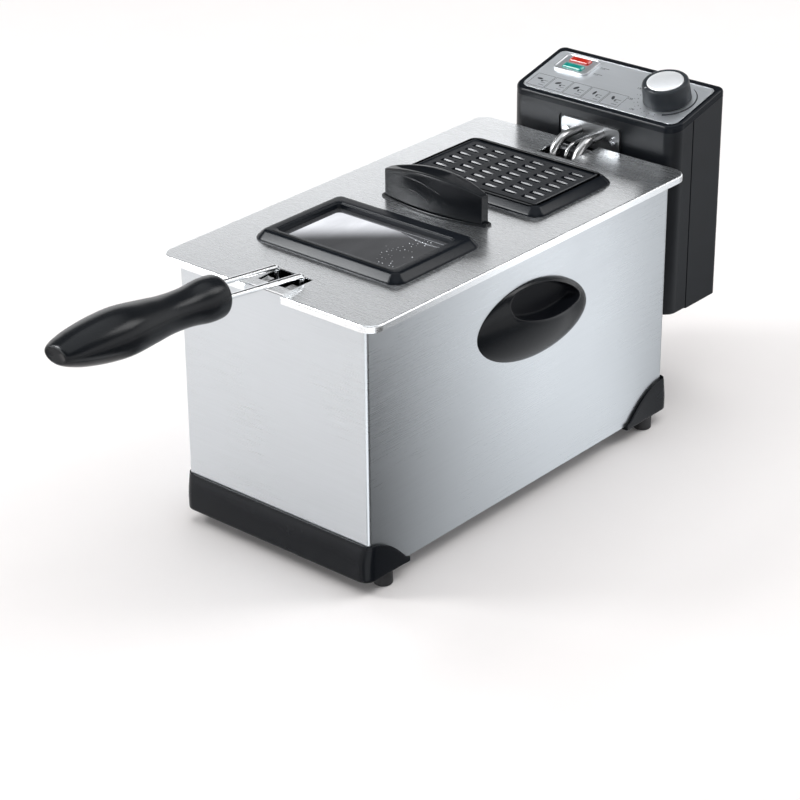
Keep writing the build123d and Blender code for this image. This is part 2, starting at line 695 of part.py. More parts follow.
def lid_frame(y0):
    """Shared moulding of the window and the vent: a low frame with sloping sides."""
    frame = slab(FRAME_HALF, y0, y0 + FRAME_LEN, LID_TOP, LID_TOP + FRAME_H, 10)
    frame = chamfer(frame.edges().group_by(Axis.Z)[-1], FRAME_H - 0.8, FRAME_SLOPE)
    collar = slab(FRAME_HALF - 12.1, y0 + 12.1, y0 + FRAME_LEN - 12.1, LID_TOP - 4, LID_TOP, 3.9)
    return frame + collar


def window_frame():
    y0 = WINDOW_Y0
    frame = lid_frame(y0)
    frame -= slab(OPEN_X, y0 + OPEN_Y0, y0 + OPEN_Y1, LID_TOP - 10, LID_TOP + 10, 2.5)
    return frame


GLASS_Z = LID_TOP - 1.0
GLASS_T = 3.0


def window_glass():
    y0 = WINDOW_Y0
    return slab(OPEN_X - 0.3, y0 + OPEN_Y0 + 0.3, y0 + OPEN_Y1 - 0.3, GLASS_Z, GLASS_Z + GLASS_T, 2.2)


def window_gasket():
    y0 = WINDOW_Y0
    ring = slab(OPEN_X - 0.3, y0 + OPEN_Y0 + 0.3, y0 + OPEN_Y1 - 0.3, GLASS_Z - 3, GLASS_Z, 2.2)
    return ring - slab(OPEN_X - 3.5, y0 + OPEN_Y0 + 3.5, y0 + OPEN_Y1 - 3.5, GLASS_Z - 4, GLASS_Z + 1, 2)


SLOT_ROWS = 7
SLOT_COLUMNS = 6
SLOT_PITCH_X = 18.0
SLOT_PITCH_Y = 9.3
SLOT_LEN = 11.5
SLOT_W = 4.0
VENT_PANEL_X = 56.5
VENT_PANEL_Y0 = 12.5
VENT_PANEL_Y1 = 83.5


def vent_frame():
    y0 = VENT_Y0
    frame = lid_frame(y0)
    panel_z = LID_TOP + FRAME_H - 1.2
    frame -= slab(VENT_PANEL_X, y0 + VENT_PANEL_Y0 - 4, y0 + VENT_PANEL_Y1, panel_z, LID_TOP + 10, 4)
    frame -= slab(OPEN_X - 1, y0 + 15, y0 + FRAME_LEN - 15, LID_TOP - 5, LID_TOP + FRAME_H - 3.6, 3)
    middle = y0 + FRAME_LEN / 2
    for column in range(SLOT_COLUMNS):
        for row in range(SLOT_ROWS):
            x = SLOT_PITCH_X * (column - (SLOT_COLUMNS - 1) / 2)
            y = middle + SLOT_PITCH_Y * (row - (SLOT_ROWS - 1) / 2)
            frame -= Pos(x, y, LID_TOP) * extrude(SlotOverall(SLOT_LEN, SLOT_W), amount=10)
    return frame


def grease_filter():
    y0 = VENT_Y0
    return slab(OPEN_X - 1.3, y0 + 15.3, y0 + FRAME_LEN - 15.3, LID_TOP - 1.5, LID_TOP + 2.4, 2.5)


def filter_retainer():
    y0 = VENT_Y0
    plate = slab(OPEN_X - 1.3, y0 + 15.3, y0 + FRAME_LEN - 15.3, LID_TOP - 3, LID_TOP - 1.5, 2.5)
    middle = y0 + FRAME_LEN / 2
    for column in range(5):
        for row in range(4):
            x = 18 * (column - 2)
            y = middle + 13 * (row - 1.5)
            plate -= Pos(x, y, LID_TOP - 4) * extrude(SlotOverall(12, 6), amount=5)
    return plate


HANDLE_HALF = 44.5
HANDLE_TOP = 228.5
HANDLE_END = 235.5


def lens_face(half, bulge_front, bulge_rear, tip):
    """Plan view with two bowed long sides and short flat ends."""
    front = SagittaArc((-half, -tip), (half, -tip), -bulge_front)
    rear = SagittaArc((half, tip), (-half, tip), -bulge_rear)
    ends = Line((half, -tip), (half, tip)) + Line((-half, tip), (-half, -tip))
    return make_face(front + rear + ends)


def lid_handle():
    plan = Pos(0, HANDLE_Y, LID_TOP) * lens_face(HANDLE_HALF, 6.0, 5.0, 3.5)
    body = extrude(plan, amount=40)
    side = make_face(
        Polyline((HANDLE_HALF + 1, HANDLE_TOP), (HANDLE_HALF + 1, LID_TOP), (-HANDLE_HALF - 1, LID_TOP),
                 (-HANDLE_HALF - 1, HANDLE_TOP))
        + ThreePointArc((-HANDLE_HALF - 1, HANDLE_TOP), (0, HANDLE_END), (HANDLE_HALF + 1, HANDLE_TOP))
    )
    body = body & extrude(Plane.XZ.offset(-HANDLE_Y) * side, amount=30, both=True)
    body = fillet(body.edges().filter_by(Axis.Z), 1.5)
    flange = Pos(0, HANDLE_Y, LID_TOP) * extrude(lens_face(48, 8.5, 7.5, 3.0), amount=2.0)
    flange = fillet(flange.edges().filter_by(Axis.Z), 2.0)
    handle = body + flange
    for x in LID_SCREW_X:
        handle -= screw_hole(x, HANDLE_Y, LID_TOP - 1, (0, 0, 1), 12)
    return handle


def lid_screws():
    group = [screw(x, HANDLE_Y, LID_TOP - 0.9, (0, 0, 1), 11) for x in LID_SCREW_X]
    return Compound(group)


# ---------------------------------------------------------------- basket handle
def rod_height(y):
    return ROD_Z + (HOOK_Y - y) * math.tan(math.radians(ROD_SLOPE))


def handle_rods():
    group = []
    for x in (-ROD_X, ROD_X):
        inner_end = (x, GRIP_Y - ROD_IN, rod_height(GRIP_Y - ROD_IN))
        points = [inner_end, (x, HOOK_Y, ROD_Z), (x, HOOK_Y, SHELF_Z - 3)]
        group.append(bent_rod(points, (3.2,), ROD_R))
    return Compound(group)


# Grip sections: distance from the collar face, half height, width over height.
GRIP_SECTIONS = (
    (0.0, 12.4, 1.0), (1.0, 13.6, 1.0), (4.0, 14.8, 1.0), (10.0, 15.1, 1.01), (16.6, 14.75, 1.02),
    (30.5, 13.1, 1.04), (48.4, 13.0, 1.07), (66.5, 14.75, 1.10), (87.2, 16.4, 1.15), (106.6, 15.1, 1.22),
    (124.6, 12.1, 1.34), (135.6, 8.9, 1.54), (139.8, 7.2, 1.66), (GRIP_LEN, GRIP_END_R, 1.85),
)


def grip_section(distance, half_height, ratio):
    middle = (0, GRIP_Y - distance * math.cos(GRIP_ANGLE), GRIP_Z + distance * math.sin(GRIP_ANGLE))
    across = Plane(middle, x_dir=(1, 0, 0), z_dir=(0, -math.cos(GRIP_ANGLE), math.sin(GRIP_ANGLE)))
    return across * Ellipse(half_height * ratio, half_height)


def handle_grip():
    """Hand grip: round flared collar, waist, palm swell and a small flat oval end."""
    solid = loft([grip_section(*section) for section in GRIP_SECTIONS])
    for x in (-ROD_X, ROD_X):
        inner = (x, GRIP_Y - ROD_IN, rod_height(GRIP_Y - ROD_IN))
        outer = (x, GRIP_Y + 10, rod_height(GRIP_Y + 10))
        solid -= rod(inner, outer, ROD_R + 0.02)
    return solid


# ---------------------------------------------------------------- all parts
PARTS = (
    casing, base_plate, front_plinth, rear_plinth, feet, base_screws, left_grip, right_grip, grip_screws,
    guide_channel, guide_screws, oil_tank,
    control_front_shell, control_rear_shell, housing_screws, control_cover, panel_fascia, lamp_bezel,
    red_lamp, green_lamp, thermostat_body, limit_cutout, terminal_block, cord_gland, microswitch,
    element_plate, plate_screws, heating_element, thermostat_bulb,
    switch_plunger, reset_button, knob, knob_cap, knob_shaft,
    basket_mesh, basket_rim, basket_bracket,
    lid_panel, window_frame, window_glass, window_gasket, vent_frame, grease_filter, filter_retainer,
    lid_handle, lid_screws,
    handle_rods, handle_grip,
)

os.makedirs("parts", exist_ok=True)
for make in PARTS:
    save(make.__name__, make())
    print(make.__name__)
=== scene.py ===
import json
import math
import random

import bmesh
import bpy
from mathutils import Matrix, Vector


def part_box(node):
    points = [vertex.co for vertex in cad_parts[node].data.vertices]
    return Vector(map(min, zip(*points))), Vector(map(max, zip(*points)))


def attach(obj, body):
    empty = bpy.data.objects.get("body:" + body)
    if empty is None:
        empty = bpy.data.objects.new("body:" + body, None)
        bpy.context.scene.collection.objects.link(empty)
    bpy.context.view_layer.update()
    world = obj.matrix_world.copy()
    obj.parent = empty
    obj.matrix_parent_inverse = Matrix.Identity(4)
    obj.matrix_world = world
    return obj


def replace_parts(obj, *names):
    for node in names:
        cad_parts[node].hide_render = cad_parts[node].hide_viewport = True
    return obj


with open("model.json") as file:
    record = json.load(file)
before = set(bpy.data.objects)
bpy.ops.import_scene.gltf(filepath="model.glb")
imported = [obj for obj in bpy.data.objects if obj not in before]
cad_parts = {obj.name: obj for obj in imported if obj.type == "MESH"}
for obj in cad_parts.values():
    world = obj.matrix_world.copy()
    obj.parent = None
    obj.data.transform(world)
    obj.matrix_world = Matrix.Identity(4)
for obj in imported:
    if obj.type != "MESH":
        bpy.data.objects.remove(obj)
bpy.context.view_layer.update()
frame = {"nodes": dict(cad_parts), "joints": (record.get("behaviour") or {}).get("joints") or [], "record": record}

MM = 0.001
random.seed(7)

# ------------------------------------------------------------------ places, read from the frame
CASING_LO, CASING_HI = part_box("casing")
WINDOW_LO, WINDOW_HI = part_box("window_frame")
VENT_LO, VENT_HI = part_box("vent_frame")
GLASS_LO, GLASS_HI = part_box("window_glass")
HANDLE_LO, HANDLE_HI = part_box("lid_handle")
GRIP_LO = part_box("handle_grip")[0]
BASKET_LO, BASKET_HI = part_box("basket_mesh")
RIM_LO, RIM_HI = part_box("basket_rim")
FASCIA_LO, FASCIA_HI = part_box("panel_fascia")
KNOB_TURN = next(j for j in frame["joints"] if j["name"] == "knob_turn")
LID_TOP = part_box("lid_panel")[1].z
MID_Y = (CASING_LO.y + CASING_HI.y) / 2

# The sloping panel's own axes: across, up the slope, out of the surface. Its origin is the knob's axis.
PANEL_OUT = Vector(KNOB_TURN["axis"]).normalized()
PANEL_UP = PANEL_OUT.cross(Vector((1, 0, 0)))
PANEL = Matrix.Translation(Vector(KNOB_TURN["pos_m"])) @ Matrix(
    ((1, PANEL_UP.x, PANEL_OUT.x), (0, PANEL_UP.y, PANEL_OUT.y), (0, PANEL_UP.z, PANEL_OUT.z))
).to_4x4()
FASCIA_MIDDLE = PANEL.inverted() @ ((FASCIA_LO + FASCIA_HI) / 2)
FASCIA_HALF_X = (FASCIA_HI.x - FASCIA_LO.x) / 2
FASCIA_HALF_Y = (FASCIA_HI.y - FASCIA_LO.y) / 2 / PANEL_OUT.z


# ------------------------------------------------------------------ materials
def new_material(name, colour, metallic, roughness):
    material = bpy.data.materials.new(name)
    material.use_nodes = True
    shader = material.node_tree.nodes["Principled BSDF"]
    shader.inputs["Base Color"].default_value = (*colour, 1)
    shader.inputs["Metallic"].default_value = metallic
    shader.inputs["Roughness"].default_value = roughness
    return material, material.node_tree, shader


def feed(tree, value, socket):
    """Links another node's output into the socket, or sets the socket to a plain value."""
    if isinstance(value, bpy.types.NodeSocket):
        tree.links.new(value, socket)
    else:
        socket.default_value = value


def add_node(tree, kind, **values):
    """A shader node; each value goes to the socket of that name, with _ for a space."""
    node = tree.nodes.new(kind)
    for name, value in values.items():
        feed(tree, value, node.inputs[name.replace("_", " ")])
    return node


def calculate(tree, operation, *values):
    node = tree.nodes.new("ShaderNodeMath")
    node.operation = operation
    for socket, value in zip(node.inputs, values):
        feed(tree, value, socket)
    return node.outputs[0]


def object_place(tree):
    return add_node(tree, "ShaderNodeTexCoord").outputs["Object"]


def noise(tree, stretch, detail=4.0):
    """Noise in the object's own metres; stretch gives its fineness along x, y and z."""
    place = add_node(tree, "ShaderNodeMapping", Vector=object_place(tree), Scale=stretch).outputs["Vector"]
    return add_node(tree, "ShaderNodeTexNoise", Vector=place, Scale=1.0, Detail=detail).outputs["Fac"]


def spread(tree, value, low, high, start=0.3, end=0.7):
    """Maps noise between start and end onto low to high."""
    node = add_node(tree, "ShaderNodeMapRange", Value=value, From_Min=start, From_Max=end,
                    To_Min=low, To_Max=high)
    return node.outputs["Result"]


def ramp(tree, value, *stops):
    """Colours blended along value; each stop is a position and a colour."""
    node = add_node(tree, "ShaderNodeValToRGB", Fac=value)
    points = node.color_ramp.elements
    for _ in stops[2:]:
        points.new(0.5)
    for point, (position, colour) in zip(points, stops):
        point.position = position
        point.color = (*colour, 1)
    return node.outputs["Color"]


def tint(tree, shader, value, dark, light, socket="Base Color"):
    """Blends two colours by value into the shader's socket."""
    tree.links.new(ramp(tree, value, (0.3, dark), (0.7, light)), shader.inputs[socket])


def sheen(tree, shader, value, low, high):
    """Lets the roughness follow value."""
    tree.links.new(spread(tree, value, low, high), shader.inputs["Roughness"])


def bump(tree, shader, value, strength, distance):
    node = add_node(tree, "ShaderNodeBump", Strength=strength, Distance=distance, Height=value)
    tree.links.new(node.outputs["Normal"], shader.inputs["Normal"])


def scaled(colour, factor):
    return tuple(min(1.0, channel * factor) for channel in colour)


def brushed(name, colour, stretch, roughness=0.30, contrast=0.05, tooth=0.12):
    """Sheet steel with fine parallel scratches, a coarser grain among them and faint cloudy patches."""
    material, tree, shader = new_material(name, colour, 1.0, roughness)
    fine = noise(tree, stretch, detail=6.0)
    coarse = noise(tree, tuple(s * 0.22 for s in stretch), detail=3.0)
    clouds = noise(tree, (11, 11, 11), detail=2.0)
    grain = calculate(tree, "MULTIPLY_ADD", fine, 0.6, calculate(tree, "MULTIPLY", coarse, 0.4))
    tint(tree, shader, grain, scaled(colour, 1 - contrast), scaled(colour, 1 + contrast))
    scratched = spread(tree, fine, roughness - 0.4 * tooth, roughness + 0.5 * tooth)
    uneven = calculate(tree, "ADD", scratched, spread(tree, clouds, -0.03, 0.03))
    tree.links.new(uneven, shader.inputs["Roughness"])
    bump(tree, shader, fine, tooth, 0.00006)
    return material


def moulded(name, colour, roughness, grain=2600.0, depth=0.25, lift=1.12, shine=0.2):
    """Moulded plastic: very fine grain, slight flow marks and a little uneven sheen."""
    material, tree, shader = new_material(name, colour, 0.0, roughness)
    shader.inputs["Specular IOR Level"].default_value = shine
    skin = noise(tree, (grain, grain, grain), detail=2.0)
    flow = noise(tree, (26, 26, 60), detail=3.0)
    tint(tree, shader, flow, scaled(colour, 0.90), scaled(colour, lift))
    sheen(tree, shader, flow, roughness - 0.015, roughness + 0.02)
    bump(tree, shader, skin, depth, 0.00005)
    return material


def polished(name, colour, roughness):
    """Plated wire or screws: bright, with faint drawing marks and tiny dull spots."""
    material, tree, shader = new_material(name, colour, 1.0, roughness)
    marks = noise(tree, (300, 300, 900))
    sheen(tree, shader, marks, roughness * 0.7, roughness * 1.6)
    tint(tree, shader, marks, scaled(colour, 0.93), scaled(colour, 1.04))
    bump(tree, shader, marks, 0.05, 0.00004)
    return material


def drawn_tube(name, colour):
    """Heating tube: satin steel, dull in patches where it has been hot."""
    material, tree, shader = new_material(name, colour, 1.0, 0.30)
    heat = noise(tree, (35, 35, 35))
    tint(tree, shader, heat, scaled(colour, 0.85), scaled(colour, 1.10))
    sheen(tree, shader, heat, 0.20, 0.32)
    bump(tree, shader, noise(tree, (1800, 200, 1800), detail=3.0), 0.15, 0.00005)
    return material


def enamel(name, colour):
    """Dark vitreous enamel with pale specks."""
    material, tree, shader = new_material(name, colour, 0.0, 0.28)
    specks = noise(tree, (900, 900, 900), detail=1.0)
    speckled = ramp(tree, specks, (0.66, colour), (0.72, (0.34, 0.34, 0.36)))
    tree.links.new(speckled, shader.inputs["Base Color"])
    waves = noise(tree, (70, 70, 70), detail=2.0)
    sheen(tree, shader, waves, 0.22, 0.36)
    bump(tree, shader, waves, 0.12, 0.0004)
    return material


def rubber(name, colour):
    """Dull rubber with a little dust."""
    material, tree, shader = new_material(name, colour, 0.0, 0.75)
    dust = noise(tree, (240, 240, 240), detail=5.0)
    tint(tree, shader, dust, scaled(colour, 0.8), scaled(colour, 2.2))
    sheen(tree, shader, dust, 0.62, 0.85)
    bump(tree, shader, noise(tree, (1900, 1900, 1900)), 0.3, 0.00008)
    return material


def tinted_glass(name, colour):
    """Dark toughened glass: sharp gloss over a smoky body, with a faint greasy film."""
    material, tree, shader = new_material(name, colour, 0.92, 0.02)
    film = noise(tree, (60, 25, 60))
    sheen(tree, shader, film, 0.004, 0.010)
    tint(tree, shader, film, scaled(colour, 0.9), scaled(colour, 1.12))
    return material


def lens(name, colour, glow):
    """Coloured lamp lens: clear plastic with a ribbed body that glows a little."""
    material, tree, shader = new_material(name, colour, 0.0, 0.16)
    shader.inputs["Coat Weight"].default_value = 0.25
    shader.inputs["Coat Roughness"].default_value = 0.05
    shader.inputs["Subsurface Weight"].default_value = 0.25
    shader.inputs["Subsurface Radius"].default_value = (0.003, 0.003, 0.003)
    shader.inputs["Emission Strength"].default_value = glow
    ribs = noise(tree, (520, 60, 60), detail=2.0)
    tint(tree, shader, ribs, scaled(colour, 0.72), scaled(colour, 1.15))
    tint(tree, shader, ribs, scaled(colour, 0.5), colour, "Emission Color")
    bump(tree, shader, ribs, 0.3, 0.0004)
    return material


def fired_clay(name, colour, roughness):
    """Unglazed ceramic with a fine grain."""
    material, tree, shader = new_material(name, colour, 0.0, roughness)
    grain = noise(tree, (700, 700, 700))
    tint(tree, shader, grain, scaled(colour, 0.8), scaled(colour, 1.15))
    sheen(tree, shader, grain, roughness - 0.06, roughness + 0.08)
    bump(tree, shader, grain, 0.2, 0.0001)
    return material


def galvanised(name, colour):
    """Zinc-coated sheet with its crystal pattern."""
    material, tree, shader = new_material(name, colour, 0.9, 0.45)
    cells = add_node(tree, "ShaderNodeTexVoronoi", Vector=object_place(tree), Scale=90.0).outputs["Distance"]
    tint(tree, shader, cells, scaled(colour, 0.8), scaled(colour, 1.3))
    tree.links.new(spread(tree, cells, 0.35, 0.6, 0, 1), shader.inputs["Roughness"])
    return material


def expanded_mesh(name, colour):
    """Layered expanded metal of the grease filter: bright metal round cells painted near black, a painted shade
    standing for its openings.
    """
    material, tree, shader = new_material(name, colour, 0.85, 0.45)
    voronoi = add_node(tree, "ShaderNodeTexVoronoi", Vector=object_place(tree))
    voronoi.feature = "DISTANCE_TO_EDGE"
    voronoi.inputs["Scale"].default_value = 420.0
    cells = voronoi.outputs["Distance"]
    # The cells are painted near black: painted shade where the openings are.
    metal_and_painted_hole_shade = ramp(tree, cells, (0.04, colour), (0.16, (0.006, 0.006, 0.007)))
    tree.links.new(metal_and_painted_hole_shade, shader.inputs["Base Color"])
    bump(tree, shader, cells, 0.8, 0.001)
    return material


ALONG_X = (70, 2600, 2600)        # scratches that run across the width
AROUND = (40, 40, 3600)           # scratches that run level round the casing

MATERIALS = {
    "brushed_steel": brushed("casing_steel", (0.585, 0.611, 0.634), AROUND, 0.30, 0.030, 0.09),
    # The lid's steel is much paler than the casing's steel of the same kind: painted light on the lid.
    "lid_steel": brushed("lid_steel", (0.885, 0.90, 0.915), ALONG_X, 0.26, 0.045),
    "plate_steel": brushed("plate_steel", (0.34, 0.347, 0.355), ALONG_X, 0.36, 0.06),
    "silver_fascia": brushed("silver_fascia", (0.70, 0.722, 0.745), ALONG_X, 0.42, 0.03),
    "black_plastic": moulded("black_plastic", (0.0065, 0.0082, 0.0112), 0.20, shine=0.11),
    "housing_plastic": moulded("housing_plastic", (0.0065, 0.0080, 0.0105), 0.34, 1700.0, 0.3, shine=0.24),
    "grip_plastic": moulded("grip_plastic", (0.0060, 0.0072, 0.0090), 0.24),
    "plinth_plastic": moulded("plinth_plastic", (0.0050, 0.0062, 0.0084), 0.26, shine=0.16),
    "knob_plastic": moulded("knob_plastic", (0.022, 0.026, 0.031), 0.33),
    "knob_silver": brushed("knob_silver", (0.87, 0.88, 0.89), (300, 2600, 2600), 0.52, 0.03),
    "chrome": polished("chrome", (0.82, 0.83, 0.84), 0.10),
    "zinc_screw": polished("zinc_screw", (0.74, 0.75, 0.77), 0.20),
    "heater_steel": drawn_tube("heater_steel", (0.50, 0.50, 0.50)),
    "tank_enamel": enamel("tank_enamel", (0.030, 0.031, 0.034)),
    "base_steel": galvanised("base_steel", (0.34, 0.35, 0.36)),
    "rubber": rubber("rubber", (0.012, 0.012, 0.013)),
    "gasket": rubber("gasket", (0.035, 0.035, 0.038)),
    "window_glass": tinted_glass("window_glass", (0.56, 0.57, 0.60)),
    "red_lens": lens("red_lens", (0.44, 0.016, 0.006), 0.14),
    "green_lens": lens("green_lens", (0.002, 0.25, 0.215), 0.16),
    "bezel_light": brushed("bezel_light", (0.50, 0.51, 0.525), (300, 2600, 2600), 0.40, 0.012),
    "filter_metal": expanded_mesh("filter_metal", (0.16, 0.16, 0.17)),
    "ceramic": fired_clay("ceramic", (0.72, 0.70, 0.64), 0.3),
    "steatite": fired_clay("steatite", (0.45, 0.40, 0.33), 0.55),
}
PRINT_INK = moulded("print_ink", (0.030, 0.033, 0.038), 0.5, 900.0, 0.1)
# Darker, duller copy of the grip plastic for the pod's hand recess: painted shade in the recess.
POD_WELL_PAINTED_SHADE = moulded("pod_well_painted_shade", (0.0045, 0.0052, 0.0070), 0.42, shine=0.06)
# Darker, less reflective copy of the black plastic for the vent plate: painted shade that keeps the plate dark.
VENT_PAINTED_SHADE = moulded("vent_painted_shade", (0.0055, 0.0070, 0.0100), 0.26, shine=0.045)
# Much glossier copy of the same black plastic for the slots' rear walls: a painted highlight that shows them as
# pale bars.
VENT_PAINTED_HIGHLIGHT = moulded("vent_painted_highlight", (0.0065, 0.0082, 0.0112), 0.20, shine=0.55)
PRINT_PALE = moulded("print_pale", (0.62, 0.64, 0.66), 0.45, 900.0, 0.1, 1.05)


def dress_cad_nodes():
    """Gives every CAD node the material of its record slot."""
    for entry in frame["record"]["subparts"]:
        node = frame["nodes"][entry["node"]]
        if not node.material_slots:
            node.data.materials.append(None)
        for material_slot in node.material_slots:
            material_slot.material = MATERIALS[entry["material_slot"]]


# ------------------------------------------------------------------ mesh helpers
def add_object(name, mesh):
    piece = bpy.data.objects.new(name, mesh)
    bpy.context.scene.collection.objects.link(piece)
    return piece


def finish_piece(piece, body, slot, material=None, sharp=35.0):
    """Smooth shading with sharp edges kept, material and body; the slot only picks the material when none is
    given.
    """
    mesh = piece.data
    tidy = bmesh.new()
    tidy.from_mesh(mesh)
    bmesh.ops.remove_doubles(tidy, verts=tidy.verts, dist=1e-6)
    bmesh.ops.delete(tidy, geom=[v for v in tidy.verts if not v.link_faces], context="VERTS")
    bmesh.ops.recalc_face_normals(tidy, faces=tidy.faces)
    tidy.to_mesh(mesh)
    tidy.free()
    mesh.shade_smooth()
    mesh.set_sharp_from_angle(angle=math.radians(sharp))
    mesh.materials.clear()
    mesh.materials.append(material or MATERIALS[slot])
    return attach(piece, body)


def piece_from(name, verts, faces, body, slot, material=None, sharp=35.0):
    mesh = bpy.data.meshes.new(name)
    mesh.from_pydata([tuple(v) for v in verts], [], faces)
    return finish_piece(add_object(name, mesh), body, slot, material, sharp)


def applied(piece):
    """Turns a piece with modifiers, or a curve or text, into a plain mesh piece."""
    bpy.context.view_layer.update()
    graph = bpy.context.evaluated_depsgraph_get()
    mesh = bpy.data.meshes.new_from_object(piece.evaluated_get(graph))
    name, world = piece.name, piece.matrix_world.copy()
    bpy.data.objects.remove(piece)
    mesh.transform(world)
    made = add_object(name, mesh)
    made.name = name
    return made


SMALLEST_CORNER = 0.0002


def drawn_in(outline, inset):
    """Plan rectangle (x0, y0, x1, y1, corner radius), drawn in by inset."""
    x0, y0, x1, y1, radius = outline
    return (x0 + inset, y0 + inset, x1 - inset, y1 - inset, max(radius - inset, SMALLEST_CORNER))


def rect(lo, hi, radius, inset=0.0):
    return drawn_in((lo[0], lo[1], hi[0], hi[1], radius), inset)


def ring(outline, height, steps=8):
    """Points round a rounded rectangle at one height."""
    x0, y0, x1, y1, radius = outline
    corners = ((x1 - radius, y1 - radius), (x0 + radius, y1 - radius),
               (x0 + radius, y0 + radius), (x1 - radius, y0 + radius))
    points = []
    for quarter, (cx, cy) in enumerate(corners):
        for step in range(steps + 1):
            angle = math.radians(90 * (quarter + step / steps))
            points.append(Vector((cx + radius * math.cos(angle), cy + radius * math.sin(angle), height)))
    return points


def circle(radius, height, count):
    angles = [math.tau * i / count for i in range(count)]
    return [Vector((radius * math.cos(angle), radius * math.sin(angle), height)) for angle in angles]


def loft(rings, closed=False):
    """Skin over rings of equal length. Closed joins the last ring to the first, open caps both ends."""
    count = len(rings[0])
    verts = [v for one in rings for v in one]
    faces = []
    for r in range(len(rings) if closed else len(rings) - 1):
        a, b = r * count, ((r + 1) % len(rings)) * count
        for i in range(count):
            j = (i + 1) % count
            faces.append((a + i, a + j, b + j, b + i))
    if not closed:
        faces.append(tuple(range(count))[::-1])
        faces.append(tuple((len(rings) - 1) * count + i for i in range(count)))
    return verts, faces


def add_skin(verts, faces, rings):
    """Adds one capped skin to a piece made of many."""
    more, skin = loft(rings)
    faces.extend(tuple(len(verts) + i for i in face) for face in skin)
    verts.extend(more)


def lofted(name, rings, body, slot, material=None, sharp=35.0, closed=False):
    verts, faces = loft(rings, closed)
    return piece_from(name, verts, faces, body, slot, material, sharp)


def soft_line(points, radius, steps=5):
    """A profile line with its inner corners rounded."""
    line = [points[0]]
    for before, corner, after in zip(points, points[1:], points[2:]):
        corner, before, after = Vector(corner), Vector(before), Vector(after)
        reach_in = min(radius, (before - corner).length * 0.45)
        reach_out = min(radius, (after - corner).length * 0.45)
        start = corner + (before - corner).normalized() * reach_in
        end = corner + (after - corner).normalized() * reach_out
        for step in range(steps + 1):
            t = step / steps
            line.append(tuple(start * (1 - t) ** 2 + corner * 2 * t * (1 - t) + end * t ** 2))
    line.append(points[-1])
    return line


def on_panel(verts):
    return [PANEL @ Vector(v) for v in verts]


def tube(name, splines, radius, body, slot, closed=False, sides=3):
    """Round wire along several lines of points."""
    curve = bpy.data.curves.new(name, "CURVE")
    curve.dimensions = "3D"
    curve.bevel_depth = radius
    curve.bevel_resolution = sides
    curve.use_fill_caps = True
    for points in splines:
        spline = curve.splines.new("POLY")
        spline.points.add(len(points) - 1)
        for target, point in zip(spline.points, points):
            target.co = (*point, 1)
        spline.use_cyclic_u = closed
    return finish_piece(applied(add_object(name, curve)), body, slot, None, 60.0)


# ------------------------------------------------------------------ lid
FRAME_SIDE_H = 0.8 * MM
FRAME_SLOPE_IN = 5.8 * MM
FRAME_TOP = WINDOW_HI.z - LID_TOP
FRAME_R = 10 * MM


def sloping_side(outline):
    """Rings up the outside of a lid frame: short upright foot, slope, rounded shoulder."""
    side = soft_line([(0, -0.0002), (0, FRAME_SIDE_H), (FRAME_SLOPE_IN, FRAME_TOP),
                      (FRAME_SLOPE_IN + 3 * MM, FRAME_TOP)], 1.6 * MM)
    return [ring(drawn_in(outline, inset), LID_TOP + height) for inset, height in side]


def window_frame():
    outer = rect(WINDOW_LO, WINDOW_HI, FRAME_R)
    inner = rect(GLASS_LO, GLASS_HI, 2.5 * MM, -0.3 * MM)
    top = LID_TOP + FRAME_TOP
    lip = soft_line([(-4.5 * MM, top), (-1.2 * MM, top), (-0.9 * MM, top - 0.7 * MM), (0, top - 0.9 * MM),
                     (0, GLASS_LO.z - 1 * MM)], 0.7 * MM, 3)
    rings = sloping_side(outer)
    rings += [ring(drawn_in(inner, inset), height) for inset, height in lip]
    rings += [ring(drawn_in(inner, -1.8 * MM), height) for height in (GLASS_LO.z - 1 * MM, LID_TOP - 0.0002)]
    piece = lofted("window_bezel", rings, "lid", "black_plastic", closed=True)
    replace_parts(piece, "window_frame")


DOT_R = 0.42 * MM
DOT_STEP_X = 3.1 * MM
DOT_STEP_Y = 3.4 * MM
DOT_COLUMNS = 11
DOT_SIDES = 10


def window_dots():
    """Small raised dots moulded into the glass near its right end, thinning out to the left."""
    verts, faces = [], []
    columns = int((GLASS_HI.x - 4 * MM) / DOT_STEP_X)
    rows = int((GLASS_HI.y - GLASS_LO.y) / DOT_STEP_Y) - 2
    for column in range(columns - DOT_COLUMNS, columns):
        for row in range(rows):
            x = column * DOT_STEP_X + (row % 2) * DOT_STEP_X / 2
            y = GLASS_LO.y + (row + 1.5) * DOT_STEP_Y
            reach = (column - (columns - DOT_COLUMNS)) / DOT_COLUMNS
            if row / rows < 0.55 - reach or row / rows > 1.5 * reach + 0.25:
                continue
            if random.random() < 0.5:
                continue
            radius = DOT_R * random.uniform(0.45, 1.15)
            foot = Vector((x, y, GLASS_HI.z - 0.02 * MM))
            rings = [[foot + v for v in circle(radius * level, radius * height, DOT_SIDES)]
                     for level, height in ((1.0, 0.0), (0.75, 0.55), (0.3, 0.85))]
            add_skin(verts, faces, rings)
    piece_from("window_dots", verts, faces, "lid", "window_glass", MATERIALS["bezel_light"], 80)


VENT_COLUMNS = 6
VENT_ROWS = 7
VENT_PITCH = (18.0 * MM, 9.3 * MM)
VENT_SLOT = (6.0 * MM, 2.3 * MM)      # half length and half width of a slot's mouth
VENT_LEAN = 0.85 * MM                 # run and depth of a slot's sloping rear wall
VENT_SLOT_R = 0.9 * MM
# down a slot: growth past its mouth in mm, share of the lean, depth in mm
VENT_LAYERS = ((0.7, 0.0, 0.0), (0.3, 0.0, 0.0), (0.0, 0.0, 0.12), (0.0, 1.0, 0.97), (0.0, 1.05, 1.3),
               (0.0, 1.05, 3.4))
VENT_WALL_LEVEL = 3                   # the layer that is the sloping rear wall
VENT_PANEL_HALF = (56.5 * MM, 37.5 * MM)
VENT_SINK = 0.7 * MM


